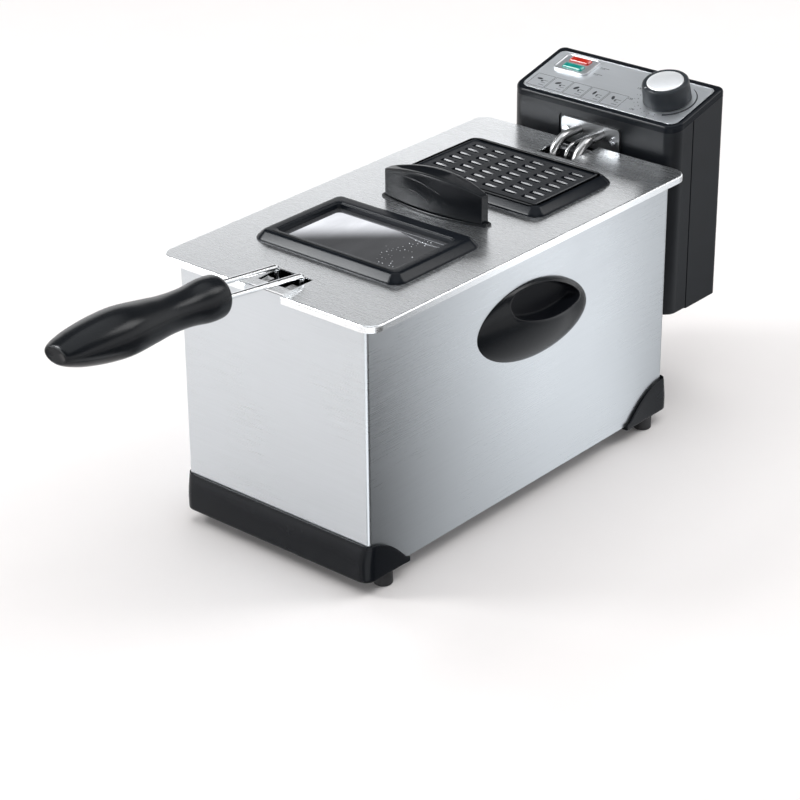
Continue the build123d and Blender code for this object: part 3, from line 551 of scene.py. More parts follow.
def vent_cell(verts, faces, highlight_walls, box, centre, top):
    """One cell of the vent plate round its slot: flat top, soft lip, sloping rear wall, deep dark foot. The rear
    wall's faces are kept apart for the glossier copy of the plastic, a painted highlight.
    """
    x0, y0, x1, y1 = box
    steps = 4
    border = []
    for corner in ((x1, y1), (x0, y1), (x0, y0), (x1, y0)):
        border += [Vector((*corner, top))] * (steps + 1)
    layers = [border]
    cx, cy = centre
    half_x, half_y = VENT_SLOT
    for grow, lean, sink in VENT_LAYERS:
        grow, lean, sink = grow * MM, lean * VENT_LEAN, sink * MM
        low = (cx - half_x - grow, cy - half_y - grow)
        high = (cx + half_x + grow - lean, cy + half_y + grow - lean)
        layers.append(ring((*low, *high, VENT_SLOT_R), top - sink, steps))
    base = len(verts)
    count = len(border)
    for layer in layers:
        verts += layer
    for level in range(len(layers) - 1):
        for i in range(count):
            j = (i + 1) % count
            a, b = base + level * count, base + (level + 1) * count
            # The rear wall's faces get the glossier copy of the plastic, a painted highlight.
            rear_wall = level == VENT_WALL_LEVEL and steps - 1 <= i <= steps + 1
            (highlight_walls if rear_wall else faces).append((a + i, a + j, b + j, b + i))


def cell_edges(middle, half, pitch, count):
    """Where the vent plate's cells meet along one direction; the outer ones reach to its edge."""
    return [middle - half] + [middle + pitch * (i - count / 2) for i in range(1, count)] + [middle + half]


def vent_grille():
    """Vent plate with its grid of slots, and the frame round it."""
    middle = Vector(((VENT_LO.x + VENT_HI.x) / 2, (VENT_LO.y + VENT_HI.y) / 2))
    top = VENT_HI.z - VENT_SINK
    half = Vector(VENT_PANEL_HALF)
    edges_x = cell_edges(middle.x, half.x, VENT_PITCH[0], VENT_COLUMNS)
    edges_y = cell_edges(middle.y, half.y, VENT_PITCH[1], VENT_ROWS)
    verts, faces, highlight_walls = [], [], []
    for column in range(VENT_COLUMNS):
        for row in range(VENT_ROWS):
            centre = (middle.x + VENT_PITCH[0] * (column - (VENT_COLUMNS - 1) / 2),
                      middle.y + VENT_PITCH[1] * (row - (VENT_ROWS - 1) / 2))
            box = (edges_x[column], edges_y[row], edges_x[column + 1], edges_y[row + 1])
            vent_cell(verts, faces, highlight_walls, box, centre, top)
    # The plate takes the darker copy of the black plastic, a painted shade.
    piece_from("vent_plate", verts, faces, "lid", "black_plastic", VENT_PAINTED_SHADE)
    # The slots' rear walls take the glossier copy of the black plastic, a painted highlight.
    piece_from("vent_slot_walls", verts, highlight_walls, "lid", "black_plastic", VENT_PAINTED_HIGHLIGHT)

    outer = rect(VENT_LO, VENT_HI, FRAME_R)
    inner = (middle.x - half.x, middle.y - half.y, middle.x + half.x, middle.y + half.y, 4 * MM)
    high = VENT_HI.z
    groove = high - 0.6 * MM
    plate = high - VENT_SINK + 0.02 * MM
    lip = soft_line([(-4.0 * MM, high), (-2.9 * MM, high), (-2.5 * MM, groove), (-2.0 * MM, groove),
                     (-1.5 * MM, high), (-0.6 * MM, high), (0, plate), (1.2 * MM, plate),
                     (2.2 * MM, high - VENT_SINK - 0.3 * MM)], 0.5 * MM, 3)
    rings = sloping_side(outer)
    rings += [ring(drawn_in(inner, inset), height) for inset, height in lip]
    rings += [ring(drawn_in(inner, 2.2 * MM), LID_TOP - 0.0002)]
    border = lofted("vent_border", rings, "lid", "black_plastic", closed=True)
    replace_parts(border, "vent_frame")


def bowed_outline(half, bulge_front, bulge_rear, tip, count=40):
    """Plan points of the lid handle: bowed front, flat end, bowed rear, flat end."""
    points = []
    for i in range(count + 1):
        x = half * (-1 + 2 * i / count)
        points.append((x, -tip - bulge_front * (1 - (x / half) ** 2)))
    points += [(half, tip * (-1 + 2 * i / 4)) for i in (1, 2, 3)]
    for i in range(count + 1):
        x = half * (1 - 2 * i / count)
        points.append((x, tip + bulge_rear * (1 - (x / half) ** 2)))
    points += [(-half, tip * (1 - 2 * i / 4)) for i in (1, 2, 3)]
    return points


HANDLE_END_DROP = 7.0 * MM            # how far the handle's top falls from its middle to its ends
HANDLE_BOW_FRONT = 6.0 * MM
HANDLE_BOW_REAR = 5.0 * MM
HANDLE_TIP = 3.5 * MM                 # half its thickness at the ends
HANDLE_FLANGE = 3.4 * MM
# relief lines on the front: height share, rise in mm, start and end along the half length
HANDLE_RIBS = ((0.60, 3.6, -0.78, 0.25), (0.30, 3.4, -0.62, 0.05))


def lid_handle():
    """Arched lid handle: upright bowed faces, crisp top edge, two relief lines, beaded foot."""
    middle_y = (HANDLE_LO.y + HANDLE_HI.y) / 2 + 0.5 * MM
    half = (HANDLE_HI.x - HANDLE_LO.x) / 2 - 3.5 * MM
    foot = LID_TOP + 1.6 * MM

    def shell_ring(level, inset):
        """Ring at a fraction of the local height, its outline drawn in by inset."""
        one = []
        for x, y in bowed_outline(half - inset, HANDLE_BOW_FRONT - 0.4 * inset, HANDLE_BOW_REAR - 0.4 * inset,
                                  HANDLE_TIP - 0.6 * inset):
            crown = HANDLE_HI.z - HANDLE_END_DROP * (x / half) ** 2
            one.append(Vector((x, middle_y + y, foot + (crown - foot) * level)))
        return one

    rings = [shell_ring(i / 12, 0.0) for i in range(12)]
    for level, inset in ((0.965, 0.0), (0.985, 0.18), (0.996, 0.6), (1.0, 1.3), (1.0, 3.0)):
        rings.append(shell_ring(level, inset * MM))
    body = lofted("lid_handle_moulding", rings, "lid", "grip_plastic", sharp=50)
    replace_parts(body, "lid_handle")

    flange = soft_line([(0.0, -0.2 * MM), (0.0, 1.1 * MM), (0.9 * MM, 1.95 * MM), (1.9 * MM, 1.0 * MM),
                        (4.0 * MM, 1.7 * MM)], 0.45 * MM, 3)
    rings = []
    for inset, height in flange:
        outline = bowed_outline(half + HANDLE_FLANGE - inset, 8.5 * MM - 0.5 * inset, 7.5 * MM - 0.5 * inset,
                                3.2 * MM - 0.3 * inset)
        rings.append([Vector((x, middle_y + y, LID_TOP + height)) for x, y in outline])
    lofted("lid_handle_foot", rings, "lid", "grip_plastic", sharp=60)

    ribs = []
    for low, rise, start, end in HANDLE_RIBS:
        points = []
        for i in range(33):
            x = half * (start + (end - start) * i / 32)
            swing = 2 * (x / half - start) / (end - start) - 1
            front = middle_y - HANDLE_TIP - HANDLE_BOW_FRONT * (1 - (x / half) ** 2)
            height = foot + low * (HANDLE_HI.z - LID_TOP) + (rise * (1 - swing ** 2) - 1.6 * swing) * MM
            points.append((x, front + 0.1 * MM, height))
        ribs.append(points)
    tube("lid_handle_ribs", ribs, 0.42 * MM, "lid", "grip_plastic")


# ------------------------------------------------------------------ basket and its handle
GRIP_ANGLE = math.radians(3.6)
GRIP_ABOVE_CASING = 13.85 * MM      # the collar face's middle, above the casing's top edge
GRIP_SIDES = 80
SEAM_DEPTH = 0.25
# distance from the collar face, half height, width over height
GRIP_SECTIONS = (
    (0.0, 10.5, 1.0), (0.15, 12.0, 1.0), (0.6, 13.0, 1.0), (1.6, 13.9, 1.0), (4.0, 14.8, 1.0),
    (10.0, 15.1, 1.01), (16.6, 14.75, 1.02), (30.5, 13.1, 1.04), (48.4, 13.0, 1.07), (66.5, 14.75, 1.10),
    (87.2, 16.4, 1.15), (106.6, 15.1, 1.22), (124.6, 12.1, 1.34), (135.6, 8.9, 1.54), (139.6, 7.3, 1.65),
    (141.3, 6.4, 1.71), (142.2, 5.6, 1.78), (142.5, 4.7, 1.85),
)


def smooth_through(points, count):
    """Catmull-Rom curve through the points."""
    ends = [points[0]] + list(points) + [points[-1]]
    made = []
    for i in range(len(points) - 1):
        p0, p1, p2, p3 = (Vector(ends[i + k]) for k in range(4))
        for step in range(count):
            t = step / count
            made.append(0.5 * (2 * p1 + (p2 - p0) * t + (2 * p0 - 5 * p1 + 4 * p2 - p3) * t * t
                               + (3 * p1 - p0 - 3 * p2 + p3) * t ** 3))
    made.append(Vector(points[-1]))
    return made


def handle_grip():
    """Hand grip with a moulding seam along its sides and a slightly sunk oval end."""
    across = Vector((1, 0, 0))
    axis = Vector((0, -math.cos(GRIP_ANGLE), math.sin(GRIP_ANGLE)))
    up = Vector((0, math.sin(GRIP_ANGLE), math.cos(GRIP_ANGLE)))
    tip = GRIP_SECTIONS[-1]
    end_y = GRIP_LO.y + tip[1] * MM * math.sin(GRIP_ANGLE)
    face = Vector((0, end_y + tip[0] * MM * math.cos(GRIP_ANGLE), 0))
    face.z = CASING_HI.z + GRIP_ABOVE_CASING

    def section(distance, half_height, ratio):
        one = []
        for i in range(GRIP_SIDES):
            angle = math.tau * i / GRIP_SIDES
            seam = SEAM_DEPTH if abs(math.sin(angle + 0.12)) < 0.03 and 8 < distance < 136 else 0.0
            reach = (half_height - seam) * MM
            out = across * ratio * reach * math.cos(angle) + up * reach * math.sin(angle)
            one.append(face + axis * distance * MM + out)
        return one

    rings = [section(*values) for values in smooth_through(GRIP_SECTIONS, 5)]
    rings += [section(tip[0] - 0.5, tip[1] * share, tip[2]) for share in (0.93, 0.2)]
    piece = lofted("grip_moulding", rings, "handle", "grip_plastic", sharp=50)
    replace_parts(piece, "handle_grip")


WIRE_R = 0.55 * MM
WIRE_STEP = 6.0 * MM
BASKET_DRAFT = 5.0 * MM
BASKET_R_LOW = 14 * MM
BASKET_R_HIGH = 17 * MM
RIM_WIRE_R = 1.6 * MM
RIM_CORNER = 19 * MM


def even_points(outline, height, count):
    """Points at equal steps round a rounded rectangle."""
    line = ring(outline, height, 10)
    lengths = [0.0]
    for a, b in zip(line, line[1:] + line[:1]):
        lengths.append(lengths[-1] + (b - a).length)
    made = []
    at = 0
    for i in range(count):
        goal = lengths[-1] * i / count
        while lengths[at + 1] < goal:
            at += 1
        a, b = line[at], line[(at + 1) % len(line)]
        made.append(a.lerp(b, (goal - lengths[at]) / (lengths[at + 1] - lengths[at])))
    return made


def wire_places(start, end, radius):
    """Floor wires along one direction: each one's place, and how far the round corners shorten it."""
    made = []
    for i in range(1, int((end - start) / WIRE_STEP)):
        at = start + i * WIRE_STEP
        inset = max(0.0, radius - min(at - start, end - at))
        made.append((at, radius - math.sqrt(max(radius ** 2 - inset ** 2, 0))))
    return made


def frying_basket():
    """Wire basket with tapered walls, a woven floor and its rim wire."""
    high = rect(BASKET_LO, BASKET_HI, BASKET_R_HIGH, 1.0 * MM)
    low = rect(BASKET_LO, BASKET_HI, BASKET_R_LOW + BASKET_DRAFT, BASKET_DRAFT + 1.0 * MM)
    z_low, z_high = BASKET_LO.z + 1.0 * MM, BASKET_HI.z
    around = 2 * int((BASKET_HI.x - BASKET_LO.x + BASKET_HI.y - BASKET_LO.y) / WIRE_STEP)
    tops, feet = even_points(high, z_high, around), even_points(low, z_low, around)
    upright = [[foot.lerp(top, t) for t in (0.0, 0.5, 1.0)] for foot, top in zip(feet, tops)]
    level = []
    rows = int((z_high - z_low) / WIRE_STEP)
    for row in range(1, rows):
        t = row / rows
        outline = tuple(a + (b - a) * t for a, b in zip(low, high))
        level.append(ring(outline, z_low + (z_high - z_low) * t, 6))
    tube("basket_upright_wires", upright, WIRE_R, "basket", "chrome", sides=1)
    walls = tube("basket_level_wires", level, WIRE_R, "basket", "chrome", closed=True, sides=1)
    x0, y0, x1, y1, radius = low
    z_cross = z_low + 2 * WIRE_R
    floor = [[(x, y0 + cut, z_low), (x, MID_Y, z_low), (x, y1 - cut, z_low)]
             for x, cut in wire_places(x0, x1, radius)]
    floor += [[(x0 + cut, y, z_cross), (0, y, z_cross), (x1 - cut, y, z_cross)]
              for y, cut in wire_places(y0, y1, radius)]
    tube("basket_floor_wires", floor, WIRE_R, "basket", "chrome", sides=1)
    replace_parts(walls, "basket_mesh")
    middle = (RIM_LO.z + RIM_HI.z) / 2
    edge = rect(RIM_LO, RIM_HI, RIM_CORNER, RIM_WIRE_R)
    line = ring(edge, middle, 12)
    rim = tube("basket_rim_wire", [line], RIM_WIRE_R, "basket", "chrome", closed=True, sides=5)
    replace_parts(rim, "basket_rim")


# ------------------------------------------------------------------ control panel
def fascia_outline(inset):
    """The fascia's edge in the panel's own axes, drawn in by inset."""
    x0 = FASCIA_MIDDLE.x - FASCIA_HALF_X
    x1 = FASCIA_MIDDLE.x + FASCIA_HALF_X
    y0 = FASCIA_MIDDLE.y - FASCIA_HALF_Y
    y1 = FASCIA_MIDDLE.y + FASCIA_HALF_Y
    return drawn_in((x0, y0, x1, y1, 6.5 * MM), inset)


def panel_rings(outline, profile, radius, steps):
    """Rings on the panel that follow a profile of (inset, height) in mm, its corners softened."""
    line = soft_line([(inset * MM, height * MM) for inset, height in profile], radius * MM, steps)
    return [on_panel(ring(drawn_in(outline, inset), height)) for inset, height in line]


def round_middle(middle, half, radius):
    return (middle[0] - half[0], middle[1] - half[1], middle[0] + half[0], middle[1] + half[1], radius)


def fascia_bead():
    """Bright raised bead round the fascia."""
    profile = ((0, -0.1), (0, 0.10), (0.35, 0.22), (0.75, 0.10), (0.8, -0.1))
    rings = panel_rings(fascia_outline(0), profile, 0.15, 3)
    lofted("fascia_bead", rings, "control", "bezel_light", closed=True)


LAMP_HALF = (9.6 * MM, 3.8 * MM)
LAMP_PITCH = 9.4 * MM
LAMP_PROFILE = ((0, -0.5), (0, 1.4), (1.3, 3.0), (3.0, 3.3))
SURROUND_HALF = (16.2 * MM, 11.7 * MM)
SURROUND_PROFILE = ((0, -0.1), (0, 2.0), (1.2, 2.1), (1.9, 1.3), (2.8, 1.3))


def lamp_middle():
    bezel_lo, bezel_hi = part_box("lamp_bezel")
    return PANEL.inverted() @ ((bezel_lo + bezel_hi) / 2)


def lamps():
    """Red lamp over a green one in a light surround."""
    middle = lamp_middle()
    for colour, sign in (("red", 1), ("green", -1)):
        place = (middle.x + 0.1 * MM, middle.y + sign * LAMP_PITCH / 2)
        rings = panel_rings(round_middle(place, LAMP_HALF, 2.0 * MM), LAMP_PROFILE, 0.7, 4)
        piece = lofted(f"{colour}_lens", rings, "control", f"{colour}_lens")
        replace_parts(piece, f"{colour}_lamp")
    rings = panel_rings(round_middle(middle, SURROUND_HALF, 4.5 * MM), SURROUND_PROFILE, 0.5, 3)
    piece = lofted("lamp_surround", rings, "control", "bezel_light")
    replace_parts(piece, "lamp_bezel")


PRINT_HEIGHT = 0.05 * MM


def flat_print(name, shapes):
    """Thin printed marks on the panel; each shape is a closed line of points."""
    verts, faces = [], []
    for points in shapes:
        rings = [on_panel([(x, y, height) for x, y in points]) for height in (-PRINT_HEIGHT, PRINT_HEIGHT)]
        add_skin(verts, faces, rings)
    piece_from(name, verts, faces, "control", "silver_fascia", PRINT_INK, 30)


def bar(x0, y0, x1, y1, width):
    a, b = Vector((x0, y0)), Vector((x1, y1))
    across = (b - a).normalized().orthogonal() * width / 2
    return [a - across, b - across, b + across, a + across]


def blob(cx, cy, rx, ry, count, turn=0.0):
    """An ellipse, turned by an angle."""
    points = []
    for i in range(count):
        u, v = rx * math.cos(math.tau * i / count), ry * math.sin(math.tau * i / count)
        x, y = u * math.cos(turn) - v * math.sin(turn), u * math.sin(turn) + v * math.cos(turn)
        points.append((cx + x, cy + y))
    return points


BOX_W = 17.4 * MM
BOX_GAP = 1.2 * MM
BOX_H = 16.6 * MM
BOX_COUNT = 5
LINE_W = 0.28 * MM


def panel_print():
    """A row of boxes with neutral marks, dashes beside the lamps and the dial's scale."""
    left = FASCIA_MIDDLE.x - FASCIA_HALF_X + 3.4 * MM
    low = FASCIA_MIDDLE.y - FASCIA_HALF_Y + 3.0 * MM
    shapes = []
    for index in range(BOX_COUNT):
        x = left + index * BOX_W
        right, high = x + BOX_W - BOX_GAP, low + BOX_H
        corners = ((x, low), (right, low), (right, high), (x, high))
        shapes += [bar(*start, *end, LINE_W) for start, end in zip(corners, corners[1:] + corners[:1])]
        cx, cy = x + 0.34 * BOX_W, low + 0.62 * BOX_H
        turn = 0.5 * index
        shapes.append(blob(cx, cy, 2.6 * MM, 1.1 * MM + 0.2 * MM * (index % 3), 18, turn))
        shapes.append(blob(cx + 3.4 * MM, cy - 2.2 * MM, 1.2 * MM, 0.8 * MM, 14, -turn))
        for k in range(3):
            y = low + (3.0 + 3.1 * k) * MM
            shapes.append(bar(x + 9.4 * MM, y, x + (14.2 - 0.8 * ((index + k) % 2)) * MM, y, 0.35 * MM))
    flat_print("panel_boxes", shapes)

    middle = lamp_middle()
    dashes = []
    for sign in (1, -1):
        y = middle.y + sign * LAMP_PITCH / 2 + 0.6 * MM
        dashes += [bar(middle.x + 19 * MM, y, middle.x + 27 * MM, y, 0.45 * MM),
                   bar(middle.x + 19 * MM, y - 1.3 * MM, middle.x + 24 * MM, y - 1.3 * MM, 0.25 * MM)]
    flat_print("lamp_marks", dashes)

    scale = []
    for index in range(11):
        angle = math.radians(150 + 13 * index)
        for radius, size in ((22.5 * MM, 0.42 * MM), (25.2 * MM, 0.28 * MM)):
            scale.append(blob(radius * math.cos(angle), radius * math.sin(angle), size, size, 12))
    flat_print("dial_dots", scale)
    wedge_out, wedge_in = [], []
    for i in range(41):
        t = i / 40
        angle = math.radians(62 - 128 * t)
        middle_r = 22.4 * MM
        width = (0.25 + 1.0 * t) * MM
        wedge_out.append(((middle_r + width) * math.cos(angle), (middle_r + width) * math.sin(angle)))
        wedge_in.append(((middle_r - width) * math.cos(angle), (middle_r - width) * math.sin(angle)))
    flat_print("dial_wedge", [wedge_out + wedge_in[::-1]])


NUMBERS = ("130", "150", "170", "190")
NUMBER_REACH = 28.6 * MM


def dial_numbers():
    """Plain temperature numbers round the dial."""
    for index, text in enumerate(NUMBERS):
        angle = math.radians(172 + 31 * index)
        curve = bpy.data.curves.new(f"dial_number_{text}", "FONT")
        curve.body = text
        curve.size = 3.0 * MM
        curve.align_x = "CENTER"
        curve.align_y = "CENTER"
        curve.extrude = 0.04 * MM
        piece = add_object(f"dial_number_{text}", curve)
        place = (NUMBER_REACH * math.cos(angle), NUMBER_REACH * math.sin(angle), 0.03 * MM)
        piece.matrix_world = PANEL @ Matrix.Translation(place)
        finish_piece(applied(piece), "control", "silver_fascia", PRINT_INK)


# radius and height over the panel, mm
KNOB_OUTLINE = ((16.0, 0.35), (18.3, 0.35), (18.5, 0.7), (18.5, 1.6), (18.35, 2.1), (18.3, 2.6), (17.9, 13.9),
                (17.6, 15.1), (17.0, 15.8), (16.2, 16.0), (14.8, 15.95), (14.35, 15.6), (14.25, 14.8))
CAP_OUTLINE = ((14.0, 14.9), (14.0, 15.7), (13.8, 16.0), (13.4, 16.2), (12.4, 16.5), (10.6, 16.85),
               (8.0, 17.2), (4.0, 17.5), (0.9, 17.55))
KNOB_SIDES = 120
POINTER_HALF = 0.45 * MM


def turned_piece(name, outline, slot):
    rings = [on_panel(circle(radius * MM, height * MM, KNOB_SIDES)) for radius, height in outline]
    return lofted(name, rings, "knob", slot, sharp=40)


def knob():
    """Round knob with a bright domed cap and a pale pointer line."""
    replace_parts(turned_piece("knob_body", KNOB_OUTLINE, "knob_plastic"), "knob")
    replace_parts(turned_piece("knob_dome", CAP_OUTLINE, "knob_silver"), "knob_cap")
    mark = bar(0, 15.5 * MM, 0, 17.0 * MM, 2 * POINTER_HALF)
    turned = Matrix.Rotation(math.radians(150), 4, "Z")
    rings = [on_panel([turned @ Vector((x, y, height * MM)) for x, y in mark]) for height in (15.6, 16.04)]
    lofted("knob_pointer", rings, "knob", "knob_plastic", PRINT_PALE)


# ------------------------------------------------------------------ base
POD_OFFSET = (2.6, -2.1)          # middle of the foot from the grip's own middle, mm
POD_HALF = (59.4, 29.5)           # the pod's foot on the casing, half length and half height, mm
POD_HEIGHT = 13.9
POD_FULLNESS = 1.89               # shape of its foot, and of its cross-section
POD_BULGE = 1.6
POD_LEAN = 1.5                    # the crown sits this much further back per unit of height
POD_TILT = -0.086
POD_SHIFT = -1.4
POD_SIDES = 112
# mouth of the hand recess, seen square to the casing, mm
POD_MOUTH = ((-35.5, 14.8), (-30.6, 19.3), (-21.9, 23.2), (-9.7, 25.2), (2.1, 25.2), (12.3, 23.7),
             (21.9, 20.0), (30.5, 14.7), (34.4, 9.4), (30.0, 5.9), (18.6, 3.9), (4.0, 1.9), (-6.0, 0.9),
             (-14.0, 0.9), (-22.3, 1.9), (-29.6, 3.7), (-34.4, 6.2), (-36.6, 10.0))
POD_MOUTH_MIDDLE = (-1.0, 12.5)
POD_EDGE = 0.985                  # share of the mouth's reach where the rim turns into the recess
# the rim's share of the mouth's reach and its lift; the recess's share and its share of the full depth
POD_RIM = ((1.02, 0.18), (1.0, 0.22), (POD_EDGE, 0.05))
POD_RECESS = ((POD_EDGE, 0.0), (0.975, 0.12), (0.95, 0.5), (0.92, 0.86), (0.88, 0.97), (0.80, 1.0),
              (0.4, 1.0))
POD_FLOOR = 1.0                   # the recess's floor, out of the casing


def pod_norm(p, q):
    """0 at the middle of the pod's foot, 1 on its outline."""
    p, q = p - POD_OFFSET[0], q - POD_OFFSET[1]
    return (abs(p / POD_HALF[0]) ** POD_FULLNESS + abs(q / POD_HALF[1]) ** POD_FULLNESS) ** (1 / POD_FULLNESS)


def pod_height(p, q):
    return POD_HEIGHT * max(0.0, 1 - pod_norm(p, q) ** POD_BULGE) ** (1 / POD_BULGE)


def mouth_line():
    """The mouth's outline at equal steps of angle round its middle."""
    ends = POD_MOUTH[-2:] + POD_MOUTH + POD_MOUTH[:2]
    line = [tuple(v) for v in smooth_through([(p, q, 0) for p, q in ends], 12)][24:-24]
    cx, cy = POD_MOUTH_MIDDLE
    by_angle = sorted((math.atan2(q - cy, p - cx), math.hypot(p - cx, q - cy)) for p, q, _ in line)
    first, last = by_angle[0], by_angle[-1]
    by_angle = [(last[0] - math.tau, last[1])] + by_angle + [(first[0] + math.tau, first[1])]
    made = []
    at = 0
    for i in range(POD_SIDES):
        angle = -math.pi + math.tau * i / POD_SIDES
        while by_angle[at + 1][0] < angle:
            at += 1
        (a0, r0), (a1, r1) = by_angle[at], by_angle[at + 1]
        reach = r0 + (r1 - r0) * (angle - a0) / max(a1 - a0, 1e-9)
        made.append((angle, reach))
    return made


def foot_reach(angle):
    """Distance from the mouth's middle to the pod's foot in one direction."""
    low, high = 0.0, 200.0
    for _ in range(40):
        middle = (low + high) / 2
        p = POD_MOUTH_MIDDLE[0] + middle * math.cos(angle)
        q = POD_MOUTH_MIDDLE[1] + middle * math.sin(angle)
        low, high = (middle, high) if pod_norm(p, q) < 1 else (low, middle)
    return low


def carry_pod(side, sign):
    """Domed carrying grip with a hand recess; rings run from its foot to the recess's floor."""
    lo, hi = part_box(f"{side}_grip")
    wall = CASING_HI.x if sign > 0 else CASING_LO.x
    middle_y, middle_z = (lo.y + hi.y) / 2 + POD_SHIFT * MM, (lo.z + hi.z) / 2
    mouth = [(angle, reach, foot_reach(angle)) for angle, reach in mouth_line()]

    def place(angle, reach, height):
        p = POD_MOUTH_MIDDLE[0] + reach * math.cos(angle) + POD_LEAN * max(height, 0)
        q = POD_MOUTH_MIDDLE[1] + reach * math.sin(angle)
        y = p * math.cos(POD_TILT) - q * math.sin(POD_TILT)
        z = p * math.sin(POD_TILT) + q * math.cos(POD_TILT)
        return Vector((wall + sign * height * MM, middle_y + y * MM, middle_z + z * MM))

    def height_at(angle, reach):
        return pod_height(POD_MOUTH_MIDDLE[0] + reach * math.cos(angle),
                          POD_MOUTH_MIDDLE[1] + reach * math.sin(angle))

    def surface(angle, reach, lift=0.0):
        return place(angle, reach, height_at(angle, reach) + lift)

    rings = [[place(angle, foot, -0.2) for angle, _, foot in mouth]]
    for step in range(1, 31):
        t = (step / 30) ** 2
        rings.append([surface(angle, foot + (1.04 * reach - foot) * t) for angle, reach, foot in mouth])
    for grow, lift in POD_RIM:
        rings.append([surface(angle, grow * reach, lift) for angle, reach, _ in mouth])
    verts, faces = loft(rings)
    skin = piece_from(f"{side}_pod", verts, faces[:-2], "base", "grip_plastic", None, 60)
    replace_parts(skin, f"{side}_grip")

    inner = []
    for grow, depth in POD_RECESS:
        one = []
        for angle, reach, _ in mouth:
            start = height_at(angle, POD_EDGE * reach) + POD_RIM[-1][1]
            point = place(angle, grow * reach, start)
            point.x = wall + sign * (start + (POD_FLOOR - start) * depth) * MM
            one.append(point)
        inner.append(one)
    verts, faces = loft(inner)
    # The recess takes the darker copy of the grip plastic, a painted shade.
    piece_from(f"{side}_pod_recess", verts, faces[:-2] + faces[-1:], "base", "grip_plastic", POD_WELL_PAINTED_SHADE, 50)


# distance along the screw from its seat, and radius, mm
SCREW_PROFILE = ((-1.9, 0.0), (-1.9, 2.4), (-1.5, 3.2), (-0.6, 3.6), (0.0, 3.6), (0.0, 1.75),
                 (2.6, 1.75), (3.2, 0.5))
SCREW_HEAD_R = 3.6 * MM
SCREW_REACH = 7 * MM                  # from the seat to the tip of the CAD's screw


def grip_screws():
    """Pan-head screws that hold the carrying grips from inside the casing."""
    lo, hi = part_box("grip_screws")
    verts, faces = [], []
    for sign in (-1, 1):
        seat = sign * (hi.x - SCREW_REACH)
        for y in (lo.y + SCREW_HEAD_R, hi.y - SCREW_HEAD_R):
            add_skin(verts, faces, [[Vector((seat + sign * along * MM, y + v.x, (lo.z + hi.z) / 2 + v.y))
                                     for v in circle(max(radius, 0.05) * MM, 0.0, 24)]
                                    for along, radius in SCREW_PROFILE])
    piece = piece_from("grip_screws_short", verts, faces, "base", "zinc_screw")
    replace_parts(piece, "grip_screws")


PLINTH_CORNER = 9 * MM
PLINTH_TOP_LIP = 0.7 * MM
WING_TIP = 4 * MM                     # the last stretch of a wing, where its top runs down to the casing


def plinth(end, sign):
    """Plinth wrapped round one end: front face curving back to a fine lip, quarter-arc wings."""
    lo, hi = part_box(f"{end}_plinth")
    face_y = CASING_LO.y if sign > 0 else CASING_HI.y
    reach = (CASING_LO.y - lo.y) if sign > 0 else (hi.y - CASING_HI.y)
    wing = (hi.y - CASING_LO.y) if sign > 0 else (CASING_HI.y - lo.y)
    side_out = hi.x - CASING_HI.x
    half, bottom, top = hi.x, lo.z, hi.z
    toe_z = CASING_LO.z + 2.6 * MM
    path = [(-half, wing + (PLINTH_CORNER - reach - wing) * i / 24, -1.0, 0.0, 0.0) for i in range(25)]
    for i in range(1, 17):
        angle = math.radians(90 * i / 16)
        x = -half + PLINTH_CORNER * (1 - math.cos(angle))
        y = -reach + PLINTH_CORNER * (1 - math.sin(angle))
        path.append((x, y, -math.cos(angle), -math.sin(angle), math.sin(angle)))
    path.append((0.0, -reach, 0.0, -1.0, 1.0))
    right = [(-x, y, -nx, ny, weight) for x, y, nx, ny, weight in reversed(path[:-1])]
    rings = []
    for x, y, nx, ny, weight in path + right:
        s = min(max((y + 0.6 * MM) / (wing - WING_TIP + 0.6 * MM), 0.0), 1.0)
        crest = top + (toe_z - top) * s + 4 * 5.6 * MM * s * (1 - s)
        if y > wing - WING_TIP:
            crest = toe_z - 1.4 * MM * (y - wing + WING_TIP) / WING_TIP
        depth = reach * weight + side_out * (1 - weight)
        rise = crest - bottom

        def point(inset, height):
            return Vector((x - nx * inset, sign * (y - ny * inset) + face_y, height))

        section = [point(1.6 * MM, bottom), point(0.5 * MM, bottom + 0.15 * MM),
                   point(0.1 * MM, bottom + 0.6 * MM)]
        face_lean, wing_lean = weight * (depth - 1.3 * MM), (1 - weight) * 0.35 * MM
        for step in range(13):
            v = 0.08 + 0.90 * step / 12
            curve = face_lean * max(0.0, (v - 0.3) / 0.68) ** 2 + wing_lean * max(0.0, (v - 0.9) / 0.08)
            section.append(point(curve, bottom + rise * v))
        lip = face_lean + wing_lean
        inner_edge = lip + PLINTH_TOP_LIP
        back, under = depth - 0.1 * MM, CASING_LO.z - 0.1 * MM
        section += [point(lip + 0.02 * MM, crest), point(lip + 0.45 * MM, crest + 0.12 * MM),
                    point(inner_edge, crest - 0.25 * MM), point(inner_edge + 0.1 * MM, crest - 1.2 * MM),
                    point(back, crest - 1.3 * MM), point(back, under)]
        inner_x, inner_y = x * 0.72, y + weight * (reach + 12 * MM)
        section += [Vector((inner_x, sign * inner_y + face_y, height)) for height in (under, bottom)]
        rings.append(section)
    piece = lofted(f"{end}_plinth_moulding", rings, "base", "plinth_plastic", sharp=40)
    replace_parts(piece, f"{end}_plinth")


def base_mouldings():
    carry_pod("left", -1)
    carry_pod("right", 1)
    plinth("front", 1)
    plinth("rear", -1)
    grip_screws()


# ------------------------------------------------------------------ floor, light, camera
CAMERA_AZIMUTH = math.radians(40.781)
CAMERA_ELEVATION = math.radians(26.602)
CAMERA_ROLL = math.radians(-0.506)
CAMERA_LENS = 114.36
CAMERA_X = 1073.7 * MM
CAMERA_FROM_CASING = -1112.6 * MM     # along y, from the casing's front face
CAMERA_ABOVE_CASING = 881.1 * MM      # from the casing's lower edge


